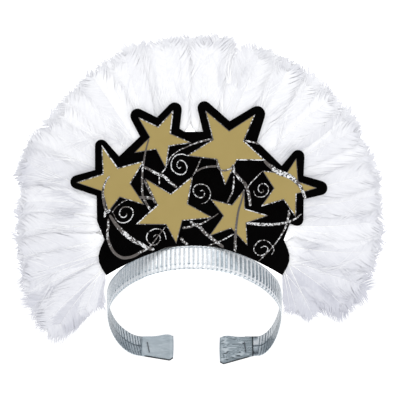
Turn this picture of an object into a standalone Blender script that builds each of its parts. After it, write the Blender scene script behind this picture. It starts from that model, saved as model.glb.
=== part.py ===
"""Party diadem: a starred card plaque and a feather fan on an open ring of ribbed foil band.

The decorated side faces -Y and +Z is up. The ring leans back, so its front rim is high and the open
back is low, as such a band sits on a head. The origin is the middle of the ring.
"""
import math

import bmesh
import bpy
from mathutils import Matrix, Vector

# Driving dimensions, in millimetres unless a name says otherwise
TOUCH_GAP = 0.3

RING_LEAN_DEGREES = 31.0
RING_HALF_WIDTH = 78.0
RING_FRONT_DEPTH = 106.5
RING_BACK_DEPTH = 83.0
BACK_FLAT_LEFT = 52.0
BACK_FLAT_RIGHT = 62.0

BAND_WIDTH = 20.6
BAND_WALL = 0.8
RIB_PITCH = 3.85
RIB_HEIGHT = 0.6
LIP_WIDTH = 5.0
LIP_TUCK = 0.9

TAB_WALL = 0.6
TAB_CHAMFER_LENGTH = 5.0
TAB_CHAMFER_HEIGHT = 3.0
TAB_GRIP = 8.0
SLOT_OVERRUN = 15.0
STAPLE_LENGTH = 11.0
STAPLE_DROP = 1.7
STAPLE_WIDTH = 0.9
STAPLE_THICKNESS = 0.5
STAPLE_ARCH = 0.2
STAPLE_SHOULDER = 1.0

PLAQUE_FRONT_Y = -85.4
PLAQUE_WALL = 1.2
HEM_MIDDLE_X = 1.2
HEM_HALF = 72.2
HEM_TOP_Z = 64.6
HEM_DROP = 25.2
HEM_POWER = 1.75
HEM_MEETS_BAND_HALF = 24.0
HEM_CLEARANCE = 0.5
HEM_STEPS = 24
LOBE_STEP_DEGREES = 20.0
TONGUE_HALF = 27.0
TONGUE_WALL = 1.0
TONGUE_COLUMNS = 12
TONGUE_ROOT_LOW = 1.0
TONGUE_ROOT_HIGH = 5.0
TONGUE_ROOT_WALL = 0.8
STAR_WALL = 0.5

FAN_CENTRE_X = 0.9
FAN_CENTRE_Z = 80.7
FAN_ROOT_RADIUS = 60.0
FAN_RADIUS = 156.0
FAN_BOW = 10.0
FAN_ROOT_THICKNESS = 5.0
FAN_TIP_THICKNESS = 1.6
FEATHER_COUNT = 34
FEATHER_STEP = 1.3
FEATHER_SCALLOP = 3.0
FEATHER_LEAST_LENGTH = 6.0

# End tabs on the flat back of the ring: name, mouth x, free end x, rise of the top edge and whole
# width at the free end, and the staple's x and slant in degrees
LEFT_TAB = ("left", -51.8, -20.6, 1.8, 27.8, -45.0, -12.0)
RIGHT_TAB = ("right", 58.2, 25.4, 0.0, 30.2, 50.1, -6.0)

# Plaque edge, clockwise from the left tip, down to the hem: x, z and the radius of a rounded lobe
PLAQUE_EDGE = (
    (-94.9, 115.9, 5.7),
    (-80.3, 125.8, 0.0),
    (-75.1, 145.5, 5.3),
    (-60.6, 137.0, 0.0),
    (-43.4, 153.3, 0.0),
    (-45.4, 170.2, 6.0),
    (-29.5, 169.0, 0.0),
    (-15.0, 175.4, 5.9),
    (-10.9, 159.7, 0.0),
    (-6.8, 157.2, 0.0),
    (8.2, 157.2, 0.0),
    (9.3, 176.7, 5.6),
    (30.1, 165.9, 0.0),
    (52.7, 171.7, 6.6),
    (52.5, 148.8, 0.0),
    (56.6, 145.3, 0.0),
    (72.8, 129.3, 0.0),
    (86.2, 137.0, 5.3),
    (90.8, 121.0, 0.0),
    (104.4, 111.0, 5.9),
    (90.8, 101.8, 0.0),
    (85.6, 85.0, 5.0),
    (79.5, 81.9, 0.0),
    (74.6, 68.6, 0.0),
    (62.9, 54.1, 16.4),
)
PLAQUE_EDGE_AFTER_HEM = (
    (-60.9, 54.2, 16.6),
    (-72.6, 68.8, 0.0),
    (-78.7, 84.1, 0.0),
    (-79.0, 104.6, 0.0),
)

# Stars: ten corners each as x, z, tips and hollows in turn, clockwise from the top
STARS = {
    "star_left": ((-74.6, 145.6), (-61.5, 127.2), (-40.6, 132.9), (-51.5, 114.6), (-40.0, 97.4),
                  (-60.0, 103.7), (-69.3, 91.7), (-74.1, 108.4), (-95.0, 115.5), (-73.5, 122.5)),
    "star_upper_left": ((-44.6, 168.7), (-28.5, 161.0), (-16.3, 174.3), (-18.5, 155.5), (-1.7, 148.2),
                        (-19.7, 145.5), (-22.2, 127.4), (-30.2, 142.9), (-47.7, 140.0), (-35.2, 152.6)),
    "star_upper_right": ((10.5, 174.1), (29.7, 157.6), (50.7, 171.1), (41.5, 149.7), (58.9, 133.8),
                         (35.9, 134.1), (26.5, 113.8), (19.4, 134.6), (-4.6, 137.6), (16.5, 150.6)),
    "star_right": ((84.6, 135.0), (86.0, 116.2), (101.3, 111.0), (84.6, 106.3), (84.1, 87.7),
                   (74.3, 101.6), (56.3, 96.2), (66.5, 110.8), (57.3, 124.9), (76.6, 122.8)),
    "star_lower_left": ((-39.1, 118.7), (-18.1, 106.0), (-0.3, 120.6), (-4.5, 98.0), (15.7, 86.8),
                        (-8.8, 84.4), (-13.7, 65.8), (-21.9, 81.1), (-46.4, 81.4), (-29.0, 97.1)),
    "star_lower_right": ((41.9, 109.6), (42.4, 93.9), (61.2, 88.4), (43.4, 82.4), (44.5, 64.1),
                         (31.4, 78.2), (13.7, 71.9), (25.1, 88.2), (14.7, 101.8), (32.0, 97.0)),
}

# Feather fan: how far the tips reach round the fan, angle in degrees from +X and radius
FEATHER_REACH = (
    (-37.5, 122.0), (-36.0, 127.0), (-34.5, 125.0), (-33.0, 110.0), (-31.0, 132.0), (-28.0, 145.0),
    (-20.0, 154.0), (-12.0, 154.0), (0.0, 156.0), (12.0, 158.0), (34.0, 160.0), (61.0, 157.0),
    (72.0, 158.0), (91.0, 155.0), (104.0, 158.0), (121.0, 153.0), (135.0, 150.0), (151.0, 151.0),
    (158.0, 154.0), (171.5, 145.0), (188.0, 147.0), (201.0, 149.0), (210.0, 153.0), (217.0, 150.0),
    (219.0, 122.0), (221.5, 108.0),
)
# and where they start: hidden behind the plaque, and outside the ring beside it
FEATHER_START = (
    (-37.5, 93.0), (-34.7, 85.0), (-30.0, 79.0), (-22.0, 60.0), (202.0, 60.0), (209.0, 79.0),
    (213.0, 85.0), (221.5, 98.0),
)

MILLIMETRE = 0.001
RING_LEAN = math.radians(RING_LEAN_DEGREES)


def clear_scene():
    for obj in list(bpy.data.objects):
        bpy.data.objects.remove(obj, do_unlink=True)


def make_material(name, colour, roughness, metallic):
    material = bpy.data.materials.new(name)
    material.use_nodes = True
    shader = material.node_tree.nodes["Principled BSDF"]
    shader.inputs["Base Color"].default_value = (*colour, 1.0)
    shader.inputs["Roughness"].default_value = roughness
    shader.inputs["Metallic"].default_value = metallic
    return material


def make_object(name, points, faces, material):
    """One object from points in millimetres, with its faces turned outwards."""
    shape = bmesh.new()
    verts = [shape.verts.new(Vector(point) * MILLIMETRE) for point in points]
    for face in faces:
        shape.faces.new([verts[i] for i in face])
    bmesh.ops.recalc_face_normals(shape, faces=shape.faces)
    mesh = bpy.data.meshes.new(name)
    shape.to_mesh(mesh)
    shape.free()
    mesh.materials.append(material)
    obj = bpy.data.objects.new(name, mesh)
    bpy.context.scene.collection.objects.link(obj)
    return obj


def prism(name, outline, y_front, y_back, material):
    """A flat sheet in the XZ plane with the given outline of (x, z)."""
    count = len(outline)
    points = [(x, y_front, z) for x, z in outline] + [(x, y_back, z) for x, z in outline]
    faces = [tuple(range(count)), tuple(range(2 * count - 1, count - 1, -1))]
    faces += [(i, (i + 1) % count, (i + 1) % count + count, i + count) for i in range(count)]
    return make_object(name, points, faces, material)


def boolean(obj, tool, operation):
    tool.hide_render = True
    tool.display_type = "WIRE"
    modifier = obj.modifiers.new(operation.lower(), "BOOLEAN")
    modifier.operation = operation
    modifier.object = tool


def in_table(rows, value):
    """Straight-line reading between the rows of a two-column table."""
    for (low, low_value), (high, high_value) in zip(rows, rows[1:]):
        if value <= high:
            share = max(0.0, (value - low) / (high - low))
            return low_value + (high_value - low_value) * share
    return rows[-1][1]


def ring_to_object(x, y, z):
    """From the ring's own frame (x right, y backwards in its plane, z along its axis) to the object's."""
    return Matrix.Rotation(-RING_LEAN, 3, "X") @ Vector((x, y, z))


def tangent_normal(here, there):
    """Left-hand unit normal of the straight edge that touches two lobes walked clockwise."""
    along = Vector((there[0] - here[0], there[1] - here[1]))
    turn = math.acos((here[2] - there[2]) / along.length)
    along.normalize()
    return Matrix.Rotation(turn, 2) @ along


def rounded_edge(rows):
    """Points along straight edges that touch each lobe, with an arc round the lobe."""
    normals = [tangent_normal(a, b) for a, b in zip(rows, rows[1:])]
    points = [(rows[0][0] + normals[0].x * rows[0][2], rows[0][1] + normals[0].y * rows[0][2])]
    for row, before, after in zip(rows[1:-1], normals, normals[1:]):
        x, z, radius = row
        if radius == 0.0:
            points.append((x, z))
            continue
        start = math.atan2(before.y, before.x)
        sweep = (start - math.atan2(after.y, after.x)) % math.tau
        steps = max(1, round(math.degrees(sweep) / LOBE_STEP_DEGREES))
        for i in range(steps + 1):
            angle = start - sweep * i / steps
            points.append((x + radius * math.cos(angle), z + radius * math.sin(angle)))
    points.append((rows[-1][0] + normals[-1].x * rows[-1][2], rows[-1][1] + normals[-1].y * rows[-1][2]))
    return points


def band_top(x):
    """Height of the band's outer top edge at x, in the object's frame."""
    reach = -front_arc(x) + BAND_WALL / 2.0 + RIB_HEIGHT
    return reach * math.sin(RING_LEAN) + BAND_WIDTH / 2.0 * math.cos(RING_LEAN)


def hem_height(x):
    """The card's low edge: clear above the band where they meet, hanging just in front of it beside."""
    height = HEM_TOP_Z - HEM_DROP * (abs(x - HEM_MIDDLE_X) / HEM_HALF) ** HEM_POWER
    if abs(x) > HEM_MEETS_BAND_HALF:
        return height
    return max(height, band_top(x) + HEM_CLEARANCE)


def plaque_outline():
    right_x = HEM_MIDDLE_X + HEM_HALF
    left_x = HEM_MIDDLE_X - HEM_HALF
    right_corner = (right_x, hem_height(right_x), 0.0)
    left_corner = (left_x, hem_height(left_x), 0.0)
    closing = (left_corner,) + PLAQUE_EDGE_AFTER_HEM + PLAQUE_EDGE + (right_corner,)
    hem = [right_x - 2.0 * HEM_HALF * i / HEM_STEPS for i in range(1, HEM_STEPS)]
    return rounded_edge(closing) + [(x, hem_height(x)) for x in hem]


def front_arc(x):
    """Depth of the ring's front half at x, in the ring's frame."""
    return -RING_FRONT_DEPTH * math.sqrt(1.0 - (x / RING_HALF_WIDTH) ** 2)


def add_plaque(material):
    """The black die-cut card, with the tongue that is glued behind the front of the band."""
    plaque = prism("plaque", plaque_outline(), PLAQUE_FRONT_Y, PLAQUE_FRONT_Y + PLAQUE_WALL, material)
    inset = BAND_WALL / 2.0 + RIB_HEIGHT + TOUCH_GAP + TONGUE_WALL / 2.0
    bottom = -BAND_WIDTH / 2.0 + LIP_WIDTH
    top = BAND_WIDTH / 2.0 + TOUCH_GAP
    heights = (bottom, (bottom + top) / 2.0, top)
    middle_y = PLAQUE_FRONT_Y + PLAQUE_WALL / 2.0
    points = []
    for i in range(TONGUE_COLUMNS + 1):
        x = -TONGUE_HALF + 2.0 * TONGUE_HALF * i / TONGUE_COLUMNS
        for height in heights:
            y = front_arc(x) + inset
            points.append(ring_to_object(x, y - TONGUE_WALL / 2.0, height))
            points.append(ring_to_object(x, y + TONGUE_WALL / 2.0, height))
        for rise in (TONGUE_ROOT_LOW, TONGUE_ROOT_HIGH):
            z = HEM_TOP_Z + rise
            points.append(Vector((x, middle_y - TONGUE_ROOT_WALL / 2.0, z)))
            points.append(Vector((x, middle_y + TONGUE_ROOT_WALL / 2.0, z)))
    faces = strip_faces(TONGUE_COLUMNS, len(heights) + 2)
    tongue = make_object("plaque_tongue_guide", points, faces, material)
    boolean(plaque, tongue, "UNION")
    return plaque


def strip_faces(columns, rows):
    """Faces of a curved slab whose points run column by column, each row a front and a back point."""
    def at(column, row, side):
        return (column * rows + row) * 2 + side

    faces = []
    for i in range(columns):
        for j in range(rows - 1):
            faces.append((at(i, j, 0), at(i + 1, j, 0), at(i + 1, j + 1, 0), at(i, j + 1, 0)))
            faces.append((at(i, j, 1), at(i, j + 1, 1), at(i + 1, j + 1, 1), at(i + 1, j, 1)))
        for j in (0, rows - 1):
            faces.append((at(i, j, 0), at(i, j, 1), at(i + 1, j, 1), at(i + 1, j, 0)))
    for i in (0, columns):
        for j in range(rows - 1):
            faces.append((at(i, j, 0), at(i, j + 1, 0), at(i, j + 1, 1), at(i, j, 1)))
    return faces


def add_stars(material):
    for name, corners in STARS.items():
        back = PLAQUE_FRONT_Y - TOUCH_GAP
        prism(name, corners, back - STAR_WALL, back, material)


def ring_outline():
    """Dense centre line of the band in the ring's plane, from the left tab round the front to the right."""
    left_corner = RING_HALF_WIDTH - BACK_FLAT_LEFT
    right_corner = RING_HALF_WIDTH - BACK_FLAT_RIGHT
    steps = 90
    quarter = [math.pi / 2.0 * i / steps for i in range(steps + 1)]
    points = [(LEFT_TAB[1] + TAB_GRIP, RING_BACK_DEPTH)]
    points += [(-BACK_FLAT_LEFT - left_corner * math.sin(t), RING_BACK_DEPTH * math.cos(t)) for t in quarter]
    points += [(-RING_HALF_WIDTH * math.cos(2.0 * t), -RING_FRONT_DEPTH * math.sin(2.0 * t))
               for t in quarter[1:-1]]
    points += [(BACK_FLAT_RIGHT + right_corner * math.cos(t), RING_BACK_DEPTH * math.sin(t)) for t in quarter]
    points.append((RIGHT_TAB[1] - TAB_GRIP, RING_BACK_DEPTH))
    return [Vector(point) for point in points]


def walk(points):
    """Distance walked along the points at each of them."""
    lengths = [0.0]
    for a, b in zip(points, points[1:]):
        lengths.append(lengths[-1] + (b - a).length)
    return lengths


def on_path(points, lengths, distance):
    """Place and outward normal at a distance along the centre line."""
    for i in range(1, len(points)):
        if distance <= lengths[i] or i == len(points) - 1:
            run = points[i] - points[i - 1]
            share = (distance - lengths[i - 1]) / run.length
            along = run.normalized()
            return points[i - 1] + run * share, Vector((-along.y, along.x)) * -1.0
    raise ValueError("empty path")


def band_columns():
    """Distances along the band and how far the foil stands out there: ribs, then flat ends."""
    length = walk(ring_outline())[-1]
    ribbed = length - 2.0 * TAB_GRIP
    ribs = round(ribbed / RIB_PITCH)
    columns = [(0.0, 0.0)]
    for i in range(2 * ribs + 1):
        out = 0.0 if i in (0, 2 * ribs) else RIB_HEIGHT * (1.0 if i % 2 else -1.0)
        columns.append((TAB_GRIP + ribbed * i / (2 * ribs), out))
    columns.append((length, 0.0))
    return columns


def add_headband(material, ring):
    """The open ring of ribbed foil, with a narrow lip tucked in along its lower rim."""
    path = ring_outline()
    lengths = walk(path)
    half = BAND_WIDTH / 2.0
    profile = ((-half, -LIP_TUCK), (-half + LIP_WIDTH, 0.0), (half, 0.0))
    columns = band_columns()
    points = []
    for distance, out in columns:
        place, normal = on_path(path, lengths, distance)
        in_sleeve = distance < TAB_GRIP or distance > lengths[-1] - TAB_GRIP
        for height, tuck in profile:
            shift = out + (0.0 if in_sleeve or out == 0.0 else tuck)
            for side in (0.5, -0.5):
                spot = place + normal * (shift + side * BAND_WALL)
                points.append((spot.x, spot.y, height))
    band = make_object("headband", points, strip_faces(len(columns) - 1, len(profile)), material)
    band.parent = ring
    return band


def add_end_tabs(material, ring):
    """Foil folded round each end of the band, open along its top and bottom edges."""
    thickness = BAND_WALL + 2.0 * (TOUCH_GAP + TAB_WALL)
    half = BAND_WIDTH / 2.0
    front = RING_BACK_DEPTH - thickness / 2.0
    back = RING_BACK_DEPTH + thickness / 2.0
    for name, mouth, free, rise, free_width, _, _ in (LEFT_TAB, RIGHT_TAB):
        length = abs(free - mouth)
        inward = (free - mouth) / length
        top = half + rise
        drop = top - free_width
        chamfer_z = -half + (drop + half) * (length - TAB_CHAMFER_LENGTH) / length
        outline = [(mouth, half), (free, top), (free, drop + TAB_CHAMFER_HEIGHT),
                   (free - inward * TAB_CHAMFER_LENGTH, chamfer_z), (mouth, -half)]
        tab = prism("end_tab_" + name, outline, front, back, material)
        slot_end = mouth + inward * (TAB_GRIP + TOUCH_GAP)
        slot_start = mouth - inward * SLOT_OVERRUN
        reach = half + SLOT_OVERRUN
        slot = [(slot_start, reach), (slot_end, reach), (slot_end, -reach), (slot_start, -reach)]
        slot_half = BAND_WALL / 2.0 + TOUCH_GAP
        cutter = prism("slot_guide_" + name, slot, RING_BACK_DEPTH - slot_half,
                       RING_BACK_DEPTH + slot_half, material)
        boolean(tab, cutter, "DIFFERENCE")
        tab.parent = ring
        cutter.parent = ring


def add_staples(material, ring):
    """A wire staple's flat crown on the inner face of each tab, its ends turned down."""
    face = RING_BACK_DEPTH - BAND_WALL / 2.0 - TOUCH_GAP - TAB_WALL
    reach = STAPLE_LENGTH / 2.0
    half = STAPLE_WIDTH / 2.0
    shoulder = reach - STAPLE_SHOULDER
    rows = ((-reach, 0.0), (-shoulder, STAPLE_ARCH), (shoulder, STAPLE_ARCH), (reach, 0.0))
    for name, _, _, _, _, x, slant in (LEFT_TAB, RIGHT_TAB):
        lean = math.radians(slant)
        points = []
        for along, lift in rows:
            for side in (-half, half):
                sx = x + side * math.cos(lean) + along * math.sin(lean)
                sz = along * math.cos(lean) - side * math.sin(lean) - STAPLE_DROP
                points.append((sx, face - TOUCH_GAP - lift - STAPLE_THICKNESS, sz))
                points.append((sx, face - TOUCH_GAP, sz))
        staple = make_object("staple_" + name, points, strip_faces(len(rows) - 1, 2), material)
        staple.parent = ring


def feather_columns():
    """Angles round the fan, each with how far across its feather it lies, from 0 to 1."""
    first = FEATHER_REACH[0][0]
    pitch = (FEATHER_REACH[-1][0] - first) / FEATHER_COUNT
    across = (0.0, 0.25, 0.5, 0.75, 0.96)
    columns = [(first + pitch * (i + u), u) for i in range(FEATHER_COUNT) for u in across]
    columns.append((FEATHER_REACH[-1][0], 1.0))
    return columns


def add_feather_fan(material):
    """Overlapping feathers fused to their root band: stepped faces, rounded tips and a backward bow."""
    fractions = (0.0, 0.18, 0.36, 0.54, 0.72, 0.88, 1.0)
    root_y = PLAQUE_FRONT_Y + PLAQUE_WALL + TOUCH_GAP
    points = []
    columns = feather_columns()
    for angle, across in columns:
        start = in_table(FEATHER_START, angle)
        scallop = FEATHER_SCALLOP * (2.0 * across - 1.0) ** 2
        end = max(start + FEATHER_LEAST_LENGTH, in_table(FEATHER_REACH, angle) - scallop)
        turn = math.radians(angle)
        for fraction in fractions:
            radius = start + (end - start) * fraction
            spread = min(1.0, (radius - FAN_ROOT_RADIUS) / (FAN_RADIUS - FAN_ROOT_RADIUS))
            front = root_y + (FAN_BOW - FEATHER_STEP * across) * spread ** 2
            thickness = FAN_ROOT_THICKNESS + (FAN_TIP_THICKNESS - FAN_ROOT_THICKNESS) * spread
            back = front + thickness + FEATHER_STEP * (across - 0.5) * spread
            x = FAN_CENTRE_X + radius * math.cos(turn)
            z = FAN_CENTRE_Z + radius * math.sin(turn)
            points.append((x, front, z))
            points.append((x, back, z))
    return make_object("feather_fan", points, strip_faces(len(columns) - 1, len(fractions)), material)


def main():
    clear_scene()
    card = make_material("black_card", (0.012, 0.012, 0.013), 0.25, 0.0)
    gold = make_material("gold_foil", (0.42, 0.32, 0.12), 0.45, 0.6)
    silver = make_material("silver_foil", (0.72, 0.76, 0.79), 0.25, 1.0)
    smooth_silver = make_material("smooth_silver_foil", (0.66, 0.71, 0.75), 0.3, 1.0)
    wire = make_material("staple_wire", (0.35, 0.36, 0.38), 0.35, 1.0)
    feather = make_material("white_feather", (0.88, 0.88, 0.92), 0.8, 0.0)

    ring = bpy.data.objects.new("ring_frame", None)
    bpy.context.scene.collection.objects.link(ring)
    ring.rotation_euler = (-RING_LEAN, 0.0, 0.0)

    add_plaque(card)
    add_stars(gold)
    add_headband(silver, ring)
    add_end_tabs(smooth_silver, ring)
    add_staples(wire, ring)
    add_feather_fan(feather)


main()
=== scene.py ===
"""Looks of the starred party diadem: card, gold and silver foil, pleated foil band and white feathers."""
import math

import bpy
import numpy as np
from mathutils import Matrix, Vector, noise


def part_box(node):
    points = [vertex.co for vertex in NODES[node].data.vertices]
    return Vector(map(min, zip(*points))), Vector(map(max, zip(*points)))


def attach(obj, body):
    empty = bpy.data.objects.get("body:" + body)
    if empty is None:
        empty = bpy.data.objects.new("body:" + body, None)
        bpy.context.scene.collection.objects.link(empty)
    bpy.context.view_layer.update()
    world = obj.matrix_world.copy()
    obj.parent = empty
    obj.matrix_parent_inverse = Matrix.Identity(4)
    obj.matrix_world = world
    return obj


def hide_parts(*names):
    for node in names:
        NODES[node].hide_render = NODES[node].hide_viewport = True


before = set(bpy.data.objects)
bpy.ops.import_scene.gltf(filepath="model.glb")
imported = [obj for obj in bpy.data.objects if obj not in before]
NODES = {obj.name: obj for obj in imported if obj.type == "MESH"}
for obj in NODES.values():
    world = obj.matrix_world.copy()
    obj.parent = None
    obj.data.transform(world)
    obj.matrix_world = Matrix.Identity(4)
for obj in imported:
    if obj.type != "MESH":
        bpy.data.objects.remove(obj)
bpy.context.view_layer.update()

MM = 0.001

# The photograph's view. Its pixels are named places on the plaque's front plane.
PIXEL = 0.82 * MM
MIDDLE_COLUMN = 192.93
MIDDLE_ROW = 200.0
MIDDLE_ROW_HEIGHT = 101.2 * MM
IMAGE_SIDE = 400
CAMERA_COLUMN = 200.0
CAMERA_DISTANCE = 780.0 * MM
SENSOR_WIDTH = 36.0

TOUCH_GAP = 0.3 * MM
STAR_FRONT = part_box("star_left")[0].y
CARD_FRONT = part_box("star_left")[1].y + TOUCH_GAP
CARD_WALL = 1.2 * MM
CARD_BACK = CARD_FRONT + CARD_WALL

# The band's path in the ring's own plane, as the CAD has it
RING_LEAN = math.radians(31.0)
RING_HALF_WIDTH = 78.0 * MM
RING_FRONT_DEPTH = 106.5 * MM
RING_BACK_DEPTH = 83.0 * MM
BACK_FLAT_LEFT = 52.0 * MM
BACK_FLAT_RIGHT = 62.0 * MM
BAND_HALF = 10.3 * MM
BAND_WALL = 0.8 * MM
LIP_TUCK = 0.9 * MM
TAB_WALL = 0.6 * MM
TAB_GRIP = 8.0 * MM
RING_STATIONS = 400
RIB_PITCH = 3.85 * MM
RIGHT_RIB_STRETCH = 0.27
INNER_RIB_LEAST_RUN = 0.4
INNER_RIB_PITCH = 2.6 * MM

# End tabs: mouth x, free end x, rise of the top edge, whole width at the free end, seed of the wrinkles,
# how creased the foil is, which also darkens it with painted shade, and how dark the painted shadow at its
# mouth
LEFT_TAB = (-51.8 * MM, -20.6 * MM, 1.8 * MM, 27.8 * MM, 3.0, 0.22, 0.3)
RIGHT_TAB = (58.2 * MM, 25.4 * MM, 0.0, 30.2 * MM, 8.0, 1.0, 0.95)

# The feather fan, as the CAD has it
FAN_CENTRE = (0.9 * MM, 80.7 * MM)
FAN_ROOT_RADIUS = 60.0 * MM
FAN_RADIUS = 156.0 * MM
FAN_BOW = 10.0 * MM
FAN_LEFT_EDGE = 202.0
FAN_RIGHT_EDGE = -22.0


def put(name, data):
    """A new object in the scene."""
    made = bpy.data.objects.new(name, data)
    bpy.context.scene.collection.objects.link(made)
    return made


def add_mesh(name, points, faces, material, slot, smooth=False, **values):
    """A piece of the object from arrays of points and faces, with one float attribute for each of values."""
    mesh = bpy.data.meshes.new(name)
    corners = np.concatenate([np.asarray(group).ravel() for group in faces])
    sizes = np.concatenate([np.full(len(group), len(group[0])) for group in faces])
    mesh.vertices.add(len(points))
    mesh.vertices.foreach_set("co", np.asarray(points, np.float32).ravel())
    mesh.loops.add(len(corners))
    mesh.loops.foreach_set("vertex_index", corners.astype(np.int32))
    mesh.polygons.add(len(sizes))
    mesh.polygons.foreach_set("loop_start", np.concatenate([[0], np.cumsum(sizes)[:-1]]).astype(np.int32))
    mesh.polygons.foreach_set("use_smooth", np.full(len(sizes), smooth))
    mesh.update(calc_edges=True)
    for key, numbers in values.items():
        layer = mesh.attributes.new(key, "FLOAT", "POINT")
        layer.data.foreach_set("value", np.asarray(numbers, np.float32))
    mesh.materials.append(material)
    piece = put(name, mesh)
    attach(piece, "root")
    return piece


def loop_faces(columns, rows):
    """Quads round a closed section swept through columns, and its two end caps."""
    column, row = np.meshgrid(np.arange(columns - 1), np.arange(rows), indexing="ij")
    here = column * rows + row
    above = column * rows + (row + 1) % rows
    quads = np.stack([here, above, above + rows, here + rows], -1).reshape(-1, 4)
    first = np.arange(rows)[None, ::-1]
    last = np.arange(rows)[None, :] + (columns - 1) * rows
    return quads, first, last


class Finish:
    """A new procedural material and short ways to add nodes to it."""

    def __init__(self, name, colour, roughness, metallic=0.0):
        self.material = bpy.data.materials.new(name)
        self.material.use_nodes = True
        self.tree = self.material.node_tree
        self.shader = self.tree.nodes["Principled BSDF"]
        self.shader.inputs["Base Color"].default_value = (*colour, 1.0)
        self.shader.inputs["Roughness"].default_value = roughness
        self.shader.inputs["Metallic"].default_value = metallic

    def node(self, kind, **settings):
        made = self.tree.nodes.new(kind)
        for key, value in settings.items():
            setattr(made, key, value)
        return made

    def feed(self, output, node, socket):
        self.tree.links.new(output, node.inputs[socket])

    def place(self):
        return self.node("ShaderNodeTexCoord").outputs["Object"]

    def attribute(self, name):
        return self.node("ShaderNodeAttribute", attribute_name=name).outputs["Fac"]

    def noise(self, scale, detail=3.0, roughness=0.55, stretch=None):
        """Cloudy noise from 0 to 1, finer where the scale is larger."""
        texture = self.node("ShaderNodeTexNoise")
        texture.inputs["Scale"].default_value = scale
        texture.inputs["Detail"].default_value = detail
        texture.inputs["Roughness"].default_value = roughness
        self.feed(self.stretched(stretch), texture, "Vector")
        return texture.outputs["Fac"]

    def cells(self, scale):
        """A random value for each small cell of the surface."""
        texture = self.node("ShaderNodeTexVoronoi")
        texture.inputs["Scale"].default_value = scale
        self.feed(self.place(), texture, "Vector")
        split = self.node("ShaderNodeSeparateColor")
        self.feed(texture.outputs["Color"], split, "Color")
        return split.outputs["Red"]

    def stretched(self, stretch):
        if stretch is None:
            return self.place()
        mapping = self.node("ShaderNodeMapping")
        mapping.inputs["Scale"].default_value = stretch
        self.feed(self.place(), mapping, "Vector")
        return mapping.outputs["Vector"]

    def math(self, operation, a, b):
        made = self.node("ShaderNodeMath", operation=operation)
        for i, value in enumerate((a, b)):
            if isinstance(value, (int, float)):
                made.inputs[i].default_value = value
            else:
                self.feed(value, made, i)
        return made.outputs["Value"]

    def span(self, value, low, high, to_low=0.0, to_high=1.0):
        """A value brought from one range to another and kept inside it."""
        made = self.node("ShaderNodeMapRange", clamp=True)
        self.feed(value, made, "Value")
        for key, number in (("From Min", low), ("From Max", high), ("To Min", to_low), ("To Max", to_high)):
            made.inputs[key].default_value = number
        return made.outputs["Result"]

    def mix(self, factor, first, second):
        """Mix of two colours, each a tuple or another node's output."""
        made = self.node("ShaderNodeMix", data_type="RGBA")
        self.feed(factor, made, "Factor")
        for key, value in ((6, first), (7, second)):
            if isinstance(value, tuple):
                made.inputs[key].default_value = (*value, 1.0)
            else:
                self.feed(value, made, key)
        return made.outputs[2]

    def glow(self, strength):
        """White light of its own: painted glow on the feathers and quills, and the even brightness of the
        floor and walls.
        """
        self.shader.inputs["Emission Color"].default_value = (1.0, 1.0, 1.0, 1.0)
        self.shader.inputs["Emission Strength"].default_value = strength

    def colour(self, output):
        self.feed(output, self.shader, "Base Color")

    def rough(self, output):
        self.feed(output, self.shader, "Roughness")

    def cloudy_gloss(self, scale, low, high):
        """Roughness that drifts from low to high in soft patches."""
        self.rough(self.span(self.noise(scale), 0.3, 0.7, low, high))

    def bump(self, height, distance, strength=1.0):
        made = self.node("ShaderNodeBump")
        made.inputs["Distance"].default_value = distance
        made.inputs["Strength"].default_value = strength
        self.feed(height, made, "Height")
        self.feed(made.outputs["Normal"], self.shader, "Normal")


# Materials

def black_card():
    """Coated black face, uncoated grey edges and back."""
    finish = Finish("black_card_gloss", (0.0006, 0.0004, 0.0004), 0.3)
    finish.shader.inputs["Specular IOR Level"].default_value = 0.05
    facing = finish.node("ShaderNodeSeparateXYZ")
    finish.feed(finish.node("ShaderNodeNewGeometry").outputs["Normal"], facing, "Vector")
    coated = finish.span(facing.outputs["Y"], -0.9, -0.6)
    fibre = finish.mix(finish.noise(900.0), (0.24, 0.235, 0.23), (0.34, 0.33, 0.32))
    finish.colour(finish.mix(coated, (0.0006, 0.0004, 0.0004), fibre))
    duller = finish.span(coated, 0.0, 1.0, 0.0, 0.5)
    finish.rough(finish.math("ADD", duller, finish.span(finish.noise(60.0), 0.3, 0.7, 0.24, 0.36)))
    finish.bump(finish.noise(1400.0, 4.0), 0.02 * MM, 0.5)
    return finish.material


def gold_foil():
    """Flat satin gold, slightly mottled."""
    finish = Finish("gold_foil_satin", (0.41, 0.31, 0.112), 0.5, 0.15)
    cloud = finish.noise(45.0, 4.0)
    finish.colour(finish.mix(cloud, (0.372, 0.276, 0.086), (0.405, 0.305, 0.1)))
    finish.cloudy_gloss(180.0, 0.42, 0.56)
    finish.bump(finish.noise(700.0, 4.0), 0.03 * MM, 0.5)
    return finish.material


def band_foil():
    """Bright pleated foil, painted blue-grey to near black by its shade attribute: painted shade in grooves,
    creases and edges, painted reflections on the flanks.
    """
    finish = Finish("band_foil_bright", (0.9, 0.92, 0.94), 0.3, 0.42)
    shade = finish.attribute("shade")
    crinkle = finish.noise(520.0, 5.0, 0.7)
    # Painted shade and reflections from the shade attribute, with random crinkle noise on top: white, then
    # blue-grey, then near black
    painted_shade_and_crinkle = finish.math("ADD", shade, finish.span(crinkle, 0.35, 0.65, -0.16, 0.16))
    light = finish.mix(finish.span(painted_shade_and_crinkle, 0.0, 0.5), (0.95, 0.97, 0.99), (0.46, 0.53, 0.58))
    finish.colour(finish.mix(finish.span(painted_shade_and_crinkle, 0.5, 1.0), light, (0.075, 0.095, 0.115)))
    finish.cloudy_gloss(260.0, 0.22, 0.4)
    finish.bump(crinkle, 0.12 * MM, 0.6)
    return finish.material


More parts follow.
